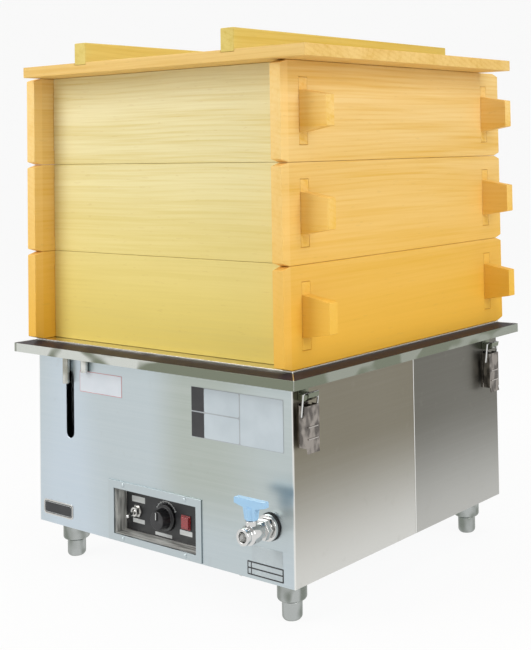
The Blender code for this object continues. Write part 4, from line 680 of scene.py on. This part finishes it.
foot_profile = [
    (0.0, 0.042),
    (0.006, 0.042),
    (0.006, 0.022),
    (0.01175, 0.022),
    (0.01165, 0.0035),
    (0.0090, 0.0),
    (0.0, 0.0),
]
quarter = np.radians(np.linspace(0.0, 90.0, 9))
collar_arc = np.column_stack([0.0130 + 0.00412 * np.cos(quarter), 0.02632 - 0.00412 * np.sin(quarter)])
collar_profile = np.vstack([(0.01712, 0.0477), collar_arc, (0.0122, 0.0222), (0.0122, 0.0477)])
weld_profile = [(0.01830, 0.0478), (0.01760, 0.0462), (0.01650, 0.0452), (0.01650, 0.0478)]
for corner, (across, along) in CORNERS.items():
    spot = at(across * 0.191, along * 0.179, 0.0)
    points, faces = turned(rounded(foot_profile, 0.0018))
    foot = "foot_" + corner
    new_piece("foot_fine_" + corner, (points + spot, faces), foot_steel, foot, (foot,))
    collar = turned(rounded(collar_profile, 0.0002, 3, ring=True), ring=True)
    bead = turned(rounded(weld_profile, 0.0008, ring=True), 96, ring=True)
    points, faces = together(collar, bead)
    new_piece("foot_collar_" + corner, (points + spot, faces), foot_steel, "cabinet")

valve_spot = at(0.189, FRONT, 0.111)
gasket_profile = [(0.0155, 0.0023), (0.0155, 0.0003), (0.0093, 0.0003), (0.0093, 0.0023)]
points, faces = turned(rounded(gasket_profile, 0.0006, ring=True), ring=True)
gasket = (facing(points, "front", valve_spot), faces)
new_piece("valve_gasket_fine", gasket, rubber_black, "cabinet", ("valve_gasket",))
valve_profile = [
    (0.0060, 0.0444),
    (0.00925, 0.0444),
    (0.00925, 0.0402),
    (0.0089, 0.0383),
    (0.01125, 0.0353),
    (0.01125, 0.0235),
    (0.0090, 0.0205),
    (0.0090, 0.0066),
    (0.01475, 0.0066),
    (0.01475, 0.0026),
    (0.0090, 0.0026),
    (0.0090, -0.0120),
    (0.0060, -0.0120),
]
valve_tube = turned(rounded(valve_profile, 0.0007, ring=True), 96, ring=True)
hexagon_profile = [(0.01225, 0.0155), (0.01225, 0.0085), (0.0080, 0.0085), (0.0080, 0.0155)]
hexagon = turned(rounded(hexagon_profile, 0.0005, 2, ring=True), 6, ring=True)
bonnet_profile = [(0.0065, 0.0150), (0.0065, 0.0095), (0.0038, 0.0095), (0.0038, 0.0150)]
bonnet = turned(rounded(bonnet_profile, 0.0006, ring=True), 64, ring=True)
bonnet_points = facing(bonnet[0], "up", valve_spot + [0.0, -0.030, 0.0])
front_shells = together(valve_tube, hexagon)
front_points = facing(front_shells[0], "front", valve_spot)
valve_shape = together((front_points, front_shells[1]), (bonnet_points, bonnet[1]))
new_piece("valve_body_fine", valve_shape, chrome, "cabinet", ("valve_body",), sharp=30.0)

knob_spot = at(KNOB_X, FRONT + PLATE_DEPTH, KNOB_Z)
knob_profile = rounded(
    [
        (0.0, 0.0160),
        (0.01125, 0.0160),
        (0.0125, 0.0038),
        (0.0162, 0.0033),
        (0.0165, 0.0008),
        (0.0030, 0.0008),
        (0.0030, -0.0120),
        (0.0, -0.0120),
    ],
    0.0010,
)
knob_points, knob_faces = turned(knob_profile, 144)
knob_x, knob_y, knob_z = knob_points.T
knob_turn = np.arctan2(knob_y, knob_x)
above_skirt = np.clip((knob_z - GRIP_LOW) / 0.0015, 0.0, 1.0)
in_grip = above_skirt * np.clip((GRIP_HIGH - knob_z) / 0.002, 0.0, 1.0)
flute = 1.0 - FLUTE_DEPTH * in_grip * np.clip(np.cos(FLUTES * knob_turn), 0.0, 1.0) ** 2
knob_points = knob_points * np.column_stack([flute, flute, np.ones_like(flute)])
rib_outline = [(-0.0015, 0.0), (0.0015, 0.0), (0.0015, 0.0100), (-0.0015, 0.0100)]
rib = prism(rounded(rib_outline, 0.0004, ring=True), 0.0145, 0.0172)
knob_shape = together((knob_points, knob_faces), rib)
knob = (facing(knob_shape[0], "front", knob_spot), knob_shape[1])
dial, moulding = "thermostat_dial", "black_plastic"
new_piece("thermostat_knob_fine", knob, knob_black, dial, ("thermostat_knob",), sharp=40.0)
mark_outline = [(-0.0006, 0.0012), (0.0006, 0.0012), (0.0006, 0.0096), (-0.0006, 0.0096)]
points, faces = prism(rounded(mark_outline, 0.0003, ring=True), 0.0171, 0.01725)
new_piece("knob_pointer_mark", (facing(points, "front", knob_spot), faces), print_white, dial)

BALL_RADIUS, TIP_RADIUS, TIP_CENTRE, LEVER_TILT = 0.0029, 0.0024, 0.0126, 13.0
lever_angles = np.linspace(0.0, math.pi, 15)
ball_profile = BALL_RADIUS * np.column_stack([np.sin(lever_angles), np.cos(lever_angles)])
tip_angles = np.linspace(0.0, math.pi / 2, 9)
tip_profile = TIP_RADIUS * np.column_stack([np.sin(tip_angles), np.cos(tip_angles)]) + [0.0, TIP_CENTRE]
lever_profile = np.vstack([tip_profile, ball_profile[3:]])
lever_points, lever_faces = turned(lever_profile, 48)
tilt_cos, tilt_sin = math.cos(math.radians(LEVER_TILT)), math.sin(math.radians(LEVER_TILT))
x, y, z = facing(lever_points, "front", (0.0, 0.0, 0.0)).T
lever_points = np.column_stack([x, y * tilt_cos - z * tilt_sin, y * tilt_sin + z * tilt_cos])
lever = (lever_points + at(-0.054, FRONT + 0.0155, KNOB_Z), lever_faces)
new_piece("toggle_lever_fine", lever, chrome, "switch_toggle", ("toggle_lever",))

for spout in ("overflow_spout_long", "overflow_spout_short"):
    low, high = (np.array(corner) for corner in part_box(spout))
    spout_profile = [(0.0045, high[2]), (0.0045, low[2]), (0.0035, low[2]), (0.0035, high[2])]
    points, faces = turned(rounded(spout_profile, 0.0003, 3, ring=True), 48, ring=True)
    middle = (low + high) / 2 * [1.0, 1.0, 0.0]
    new_piece(spout + "_fine", (points + middle, faces), spout_steel, "cabinet", (spout,))

gland_profile = [
    (0.0090, 0.0158),
    (0.0130, 0.0060),
    (0.0130, 0.0003),
    (0.0090, 0.0003),
    (0.0090, -0.0100),
    (0.0045, -0.0100),
    (0.0045, 0.0170),
    (0.0078, 0.0170),
]
points, faces = turned(rounded(gland_profile, 0.0006, ring=True), 96, ring=True)
gland = (facing(points, "rear", at(-0.150, REAR, 0.093)), faces)
new_piece("cord_gland_fine", gland, knob_black, "cabinet", ("cord_gland",))
print("round pieces", piece_count)

# %% [markdown]
# ## Bare plates and printed marks
#
# The photograph's stickers carry words, which are left out. Their films stay as bare plates with
# eased corners, 0.1 to 0.3 mm proud of the steel, each in its measured place. The scale round the
# knob and the small fields on the black plate are flat prints.


# %% Plates
FILM, RAISED, PRINT = (0.00004, 0.00020), (0.00004, 0.00026), (0.00002, 0.00012)


def front_plate(name, across, up, material, slot, heights=FILM, corner=0.0008, depth=0.0):
    """A thin plate on the front, or depth behind it, from its x span and its z span above the base."""
    (left, right), (low, high) = across, up
    outline = rounded([(left, low), (right, low), (right, high), (left, high)], corner, 4, ring=True)
    points, faces = prism(outline, *heights)
    placed = facing(points, "front", at(0.0, FRONT + depth, BASE))
    new_piece(name, (placed, faces), material, "cabinet")


sheet, panel = "steel_sheet", "black_panel"
plates = {
    "label_left_edge": ((-0.1407, -0.0595), (0.1773, 0.2037), red_ink, sheet),
    "label_left_face": ((-0.1402, -0.0600), (0.1778, 0.2032), warm_film, sheet, RAISED),
    "label_right_back": ((0.0650, 0.2112), (0.1465, 0.2052), grey_film, sheet, FILM, 0.0004),
    "label_right_upper_dark": ((0.0652, 0.0860), (0.1772, 0.2050), black_ink, panel, RAISED),
    "label_right_lower_dark": ((0.0652, 0.0860), (0.1470, 0.1758), black_ink, panel, RAISED),
    "label_right_upper": ((0.0864, 0.1430), (0.1772, 0.2044), white_film, sheet, RAISED, 0.003),
    "label_right_lower": ((0.0864, 0.1430), (0.1474, 0.1758), white_film, sheet, RAISED, 0.003),
    "label_right_wide": ((0.1446, 0.2104), (0.1470, 0.2046), white_film, sheet, RAISED, 0.002),
    "badge_edge": ((-0.2165, -0.1565), (0.0105, 0.0295), bright_steel, sheet, (0.00004, 0.0005), 0.005),
    "badge_face": ((-0.2148, -0.1582), (0.0122, 0.0278), black_ink, panel, (0.00004, 0.00056), 0.0045),
    "badge_line": ((-0.2139, -0.1591), (0.0131, 0.0269), print_white, panel, (0.00050, 0.00062), 0.004),
    "badge_field": ((-0.2134, -0.1596), (0.0136, 0.0264), black_ink, panel, (0.00050, 0.00066), 0.0036),
    "rating_plate": ((0.1605, 0.2070), (0.0205, 0.0380), pale_film, sheet),
    "table_plate": ((0.1530, 0.2080), (0.0040, 0.0195), black_ink, sheet),
    "table_cell_top_left": ((0.1546, 0.1584), (0.0127, 0.0180), pale_film, sheet, RAISED, 0.0003),
    "table_cell_low_left": ((0.1546, 0.1584), (0.0056, 0.0111), pale_film, sheet, RAISED, 0.0003),
    "table_cell_top_right": ((0.1600, 0.2064), (0.0127, 0.0180), pale_film, sheet, RAISED, 0.0003),
    "table_cell_low_right": ((0.1600, 0.2064), (0.0056, 0.0111), pale_film, sheet, RAISED, 0.0003),
}
for plate, facts in plates.items():
    front_plate(plate, *facts)

fields = {
    "upper_left": ((-0.0656, -0.0415), (0.0450, 0.0523)),
    "lower_left": ((-0.0640, -0.0423), (0.0195, 0.0247)),
    "under_knob": ((-0.0230, 0.0070), (0.0110, 0.0150)),
    "under_lamp": ((0.0210, 0.0426), (0.0190, 0.0250)),
}
for field, (across, up) in fields.items():
    front_plate("printed_field_" + field, across, up, print_white, panel, PRINT, 0.0005, PLATE_DEPTH)


def scale_mark(angles, inner, outer):
    """A flat arc band: (r cos a, r sin a) outwards along the angles and back inwards."""
    around = np.column_stack([np.cos(angles), np.sin(angles)])
    outline = np.vstack([outer * around, inner * around[::-1]])
    return prism(outline, *PRINT)


sweep = np.radians(np.linspace(150.0, 30.0, 49))[::-1]
marks = [scale_mark(sweep, 0.0188, 0.0194)]
for degrees in np.linspace(150.0, 30.0, 9):
    middle = math.radians(degrees)
    marks.append(scale_mark(np.linspace(middle - 0.014, middle + 0.014, 3), 0.0176, 0.0206))
points, faces = together(*marks)
new_piece("printed_scale", (facing(points, "front", knob_spot), faces), print_white, "cabinet")
print("pieces so far", piece_count)

# %% [markdown]
# ## Mitre welds on the tray
#
# The tray's corners are welded and dressed. Each bead follows the mitre from the outer lip over the
# slope to the seat, as a thin round tube half sunk in the sheet. The beads close the fine gaps
# that the four sections have in the solid model.

# %% Welds
SEAT = 0.2865
for corner, (across, along) in CORNERS.items():
    knots = np.array(
        [
            (0.2468, 0.2328, SEAT - 0.0160),
            (0.2468, 0.2328, SEAT - 0.0052),
            (0.2280, 0.2134, SEAT - 0.0022),
            (0.2279, 0.2133, SEAT - 0.0006),
            (0.2274, 0.2128, SEAT - 0.0004),
        ]
    )
    lengths = np.concatenate([[0.0], np.cumsum(np.linalg.norm(np.diff(knots, axis=0), axis=1))])
    fine = np.linspace(0.0, lengths[-1], 60)
    path = np.column_stack([np.interp(fine, lengths, knots[:, axis]) for axis in range(3)])
    path = path * [across, along, 1.0] + at(0.0, 0.0, 0.0)
    bead = swept(path, 0.0006, 10, (along, -across, 0.0))
    # the bead's bright tone is a painted highlight along the mitre
    new_piece("rim_weld_" + corner, bead, seam_highlight_steel, "cabinet")
print("welds", len(CORNERS))

# %% [markdown]
# ## Seams, rungs and the small stud
#
# The rear casing's folded edge carries a painted highlight, a bright strip down each side. The
# latch levers have two pressed rungs for a finger, and a stud's rounded end stands under the front
# edge of the base.

# %% Small pressed details
for side, across in (("left", -1.0), ("right", 1.0)):
    strip = [(0.0140, 0.0492), (0.0152, 0.0492), (0.0152, 0.2846), (0.0140, 0.2846)]
    seam = rounded(strip, 0.0003, 3, ring=True)
    points, faces = prism(seam if across > 0 else seam[::-1] * [-1.0, 1.0], 0.00005, 0.00030)
    placed = facing(points, "side_" + side, at(across * SIDE, 0.0, 0.0))
    new_piece("seam_edge_" + side, (placed, faces), seam_highlight_steel, "cabinet")

for corner, (across, along) in CORNERS.items():
    low, high = (np.array(edge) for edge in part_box("latch_lever_" + corner))
    face = high[0] if across > 0 else low[0]
    rungs = []
    for height in (0.30, 0.55):
        z = low[2] + height * (high[2] - low[2])
        span = np.linspace(low[1] + 0.0030, high[1] - 0.0030, 9)
        path = np.column_stack([np.full(9, face - across * 0.0010), span, np.full(9, z)])
        rungs.append(swept(path, 0.0009, 12, (0.0, 0.0, 1.0)))
    lever = "latch_lever_" + corner
    new_piece("lever_rungs_" + corner, together(*rungs), rung_steel, lever)

stud_profile = rounded([(0.0, 0.0), (0.0032, 0.0), (0.0032, -0.0022), (0.0, -0.0040)], 0.0008)
points, faces = turned(stud_profile, 40)
new_piece("base_stud", (points + at(0.1366, -0.2040, 0.0478), faces), bright_steel, "cabinet")
print("pieces so far", piece_count)

# %% [markdown]
# ## Finishes on the solid model's own nodes
#
# The remaining nodes keep their shape. Their meshes come split at every edge, so a Weld modifier
# joins them again before a small bevel catches the light along the edges.


# %% Dressing the nodes
def dress(node, material, edge=0.0, segments=2, angle=40.0):
    """Puts a finish on every slot of a node, and eases its edges."""
    piece = nodes[node]
    for slot in piece.material_slots:
        slot.material = material
    if edge:
        weld = piece.modifiers.new("weld", "WELD")
        weld.merge_threshold = 0.00002
        bevel = piece.modifiers.new("edge", "BEVEL")
        bevel.width, bevel.segments = edge, segments
        bevel.limit_method, bevel.angle_limit = "ANGLE", math.radians(angle)
        bevel.harden_normals = True


for frame_name in ("lower_frame", "middle_frame", "upper_frame"):
    dress(frame_name + "_left_board", woods["side"], 0.0009, 3)
    dress(frame_name + "_right_board", woods["side"], 0.0009, 3)
    dress(frame_name + "_front_board", woods["front"], 0.0007)
    dress(frame_name + "_rear_board", woods["front"], 0.0007)
    dress(frame_name + "_grate", woods["grate"], 0.0006)
for side in ("front", "rear", "left", "right"):
    dress("rim_" + side, rim_steel, 0.0003)
single_nodes = {
    "lid_panel": (woods["lid"], 0.0007),
    "lid_batten_left": (woods["batten"], 0.0008, 3),
    "lid_batten_right": (woods["batten"], 0.0008, 3),
    "front_casing": (casing_steel, 0.0004),
    "rear_casing": (rear_steel, 0.0004),
    "base_plate": (casing_steel,),
    "water_tank": (side_steel, 0.0006),
    "control_bezel": (recess_steel, 0.0003),
    "control_plate": (panel_black,),
    "switch_body": (bright_steel, 0.0002),
    "thermostat_body": (bright_steel,),
    "pilot_lamp": (red_lens, 0.0003),
    "valve_lock_nut": (bright_steel,),
    "valve_ball": (chrome,),
    "valve_handle": (handle_blue, 0.0011, 4),
    "gauge_tube": (tube_glass,),
    "drain_pipe": (bright_steel,),
    "immersion_heater": (dark_steel,),
}
for node, finish in single_nodes.items():
    dress(node, *finish)
for corner in CORNERS:
    dress("latch_base_" + corner, latch_steel, 0.0002)
    dress("latch_lever_" + corner, latch_steel, 0.0003)
    dress("latch_loop_" + corner, chrome)
print("dressed nodes", sum(1 for node in nodes.values() if node.visible_get()))

# %% [markdown]
# ## Studio
#
# The floor is a large disc that curves up into a round backdrop, so that bright steel has a soft
# pale room to reflect from every side. What the camera sees of it directly is white, as in the
# photograph, and metal and glass see it as nearly white too; for all other light it is an ordinary
# pale paint. One large soft lamp stands at the front left, a weaker one at the right and another
# above. The camera stands at the photograph's angle, with a little roll and a shifted frame.


# %% Floor and backdrop
def paper_look(name, colour, white_share):
    """Pale paint; to the camera, metal and glass it is mostly plain white, so a soft shadow shows."""
    look = Look(name)
    place = look.place()
    grain = look.noise(*[axis * 3.0 for axis in place], detail=2.0)
    look.finish(
        Base_Color=look.mix(grain, colour, tuple(0.97 * part for part in colour)),
        Roughness=0.9,
        Specular_IOR_Level=0.1,
    )
    path = look.tree.nodes.new("ShaderNodeLightPath")
    camera_ray, glossy_ray, through_ray = (
        Field(look, path.outputs[output])
        for output in ("Is Camera Ray", "Is Glossy Ray", "Is Transmission Ray")
    )
    glow = look.tree.nodes.new("ShaderNodeEmission")
    return look.blended(glow, camera_ray.most(glossy_ray).most(through_ray) * white_share)


FLOOR_HOLE, FLOOR_REACH, BEND_RADIUS, WALL_HEIGHTS, SIDES = 0.02, 6.8, 1.2, (3.0, 5.5), 128
flat = np.linspace(FLOOR_HOLE, FLOOR_REACH, 60)
bend = np.linspace(0.0, math.pi / 2, 25)[1:]
wall = np.full(len(WALL_HEIGHTS), FLOOR_REACH + BEND_RADIUS)
reach = np.concatenate([flat, FLOOR_REACH + BEND_RADIUS * np.sin(bend), wall])
rise = np.concatenate([np.zeros_like(flat), BEND_RADIUS - BEND_RADIUS * np.cos(bend), WALL_HEIGHTS])
around = np.arange(SIDES) * (math.tau / SIDES)
ring = np.stack([np.cos(around), np.sin(around), np.ones(SIDES)], axis=1)
levels = np.stack([reach, reach, rise], axis=1)
sheet_points = (levels[:, None, :] * ring[None, :, :]).reshape(-1, 3)
sheet_faces = [face[::-1] for face in grid_faces(len(levels), SIDES, False, True)]
sheet_faces.append(list(range(SIDES)))
backdrop_mesh = bpy.data.meshes.new("backdrop")
backdrop_mesh.from_pydata(sheet_points.tolist(), [], sheet_faces)
backdrop_mesh.polygons.foreach_set("use_smooth", [True] * len(backdrop_mesh.polygons))
backdrop_mesh.materials.append(paper_look("studio_paper", (0.80, 0.80, 0.79), 0.92))
backdrop = bpy.data.objects.new("backdrop", backdrop_mesh)
bpy.context.scene.collection.objects.link(backdrop)


# %% Lamps, world and camera
def lamp(name, place, target, size, power, colour=(1.0, 1.0, 1.0)):
    """A square area lamp at a place, turned so that its -Z looks at the target."""
    light = bpy.data.lights.new(name, "AREA")
    light.shape, light.size, light.energy, light.color = "SQUARE", size, power, colour
    holder = bpy.data.objects.new(name, light)
    bpy.context.scene.collection.objects.link(holder)
    aim_x, aim_y, aim_z = np.array(target, float) - np.array(place, float)
    swing = math.atan2(aim_y, aim_x) - math.pi / 2
    holder.location = place
    holder.rotation_euler = (math.atan2(np.hypot(aim_x, aim_y), -aim_z), 0.0, swing)
    return holder


lamp("key_lamp", (-1.3, -2.1, 1.7), (0.0, 0.0, 0.3), 1.6, 43.0, (1.0, 0.99, 0.97))
lamp("side_lamp", (2.3, -0.2, 1.3), (0.0, 0.0, 0.35), 1.4, 27.0)
lamp("top_lamp", (0.1, 0.2, 2.5), (0.0, 0.0, 0.3), 1.8, 24.0)

scene = bpy.context.scene
world = bpy.data.worlds.new("studio_air")
world.use_nodes = True
scene.world = world
world.node_tree.nodes["Background"].inputs["Color"].default_value = (1.0, 1.0, 1.0, 1.0)
world.node_tree.nodes["Background"].inputs["Strength"].default_value = 0.46

YAW, PITCH, ROLL = 0.6342, 0.0375, -0.0193
forward = np.array([-math.sin(YAW) * math.cos(PITCH), math.cos(YAW) * math.cos(PITCH), math.sin(PITCH)])
right = np.array([math.cos(YAW), math.sin(YAW), 0.0])
above = np.cross(right, forward)
rolled_right = right * math.cos(ROLL) + above * math.sin(ROLL)
rolled_above = above * math.cos(ROLL) - right * math.sin(ROLL)
turn = np.eye(4)
turn[:3, :3] = np.column_stack([rolled_right, rolled_above, -forward])
turn[:3, 3] = (1.0938, -1.16555, 0.5310)
camera_data = bpy.data.cameras.new("photo_camera")
camera_data.sensor_fit, camera_data.sensor_width, camera_data.lens = "HORIZONTAL", 36.0, 79.09
camera_data.shift_x, camera_data.shift_y = -0.2640, -0.4185
camera = bpy.data.objects.new("photo_camera", camera_data)
scene.collection.objects.link(camera)
camera.matrix_world = turn.T.tolist()
scene.camera = camera
scene.view_settings.view_transform = "Standard"
print("camera at", [round(float(value), 3) for value in turn[:3, 3]])
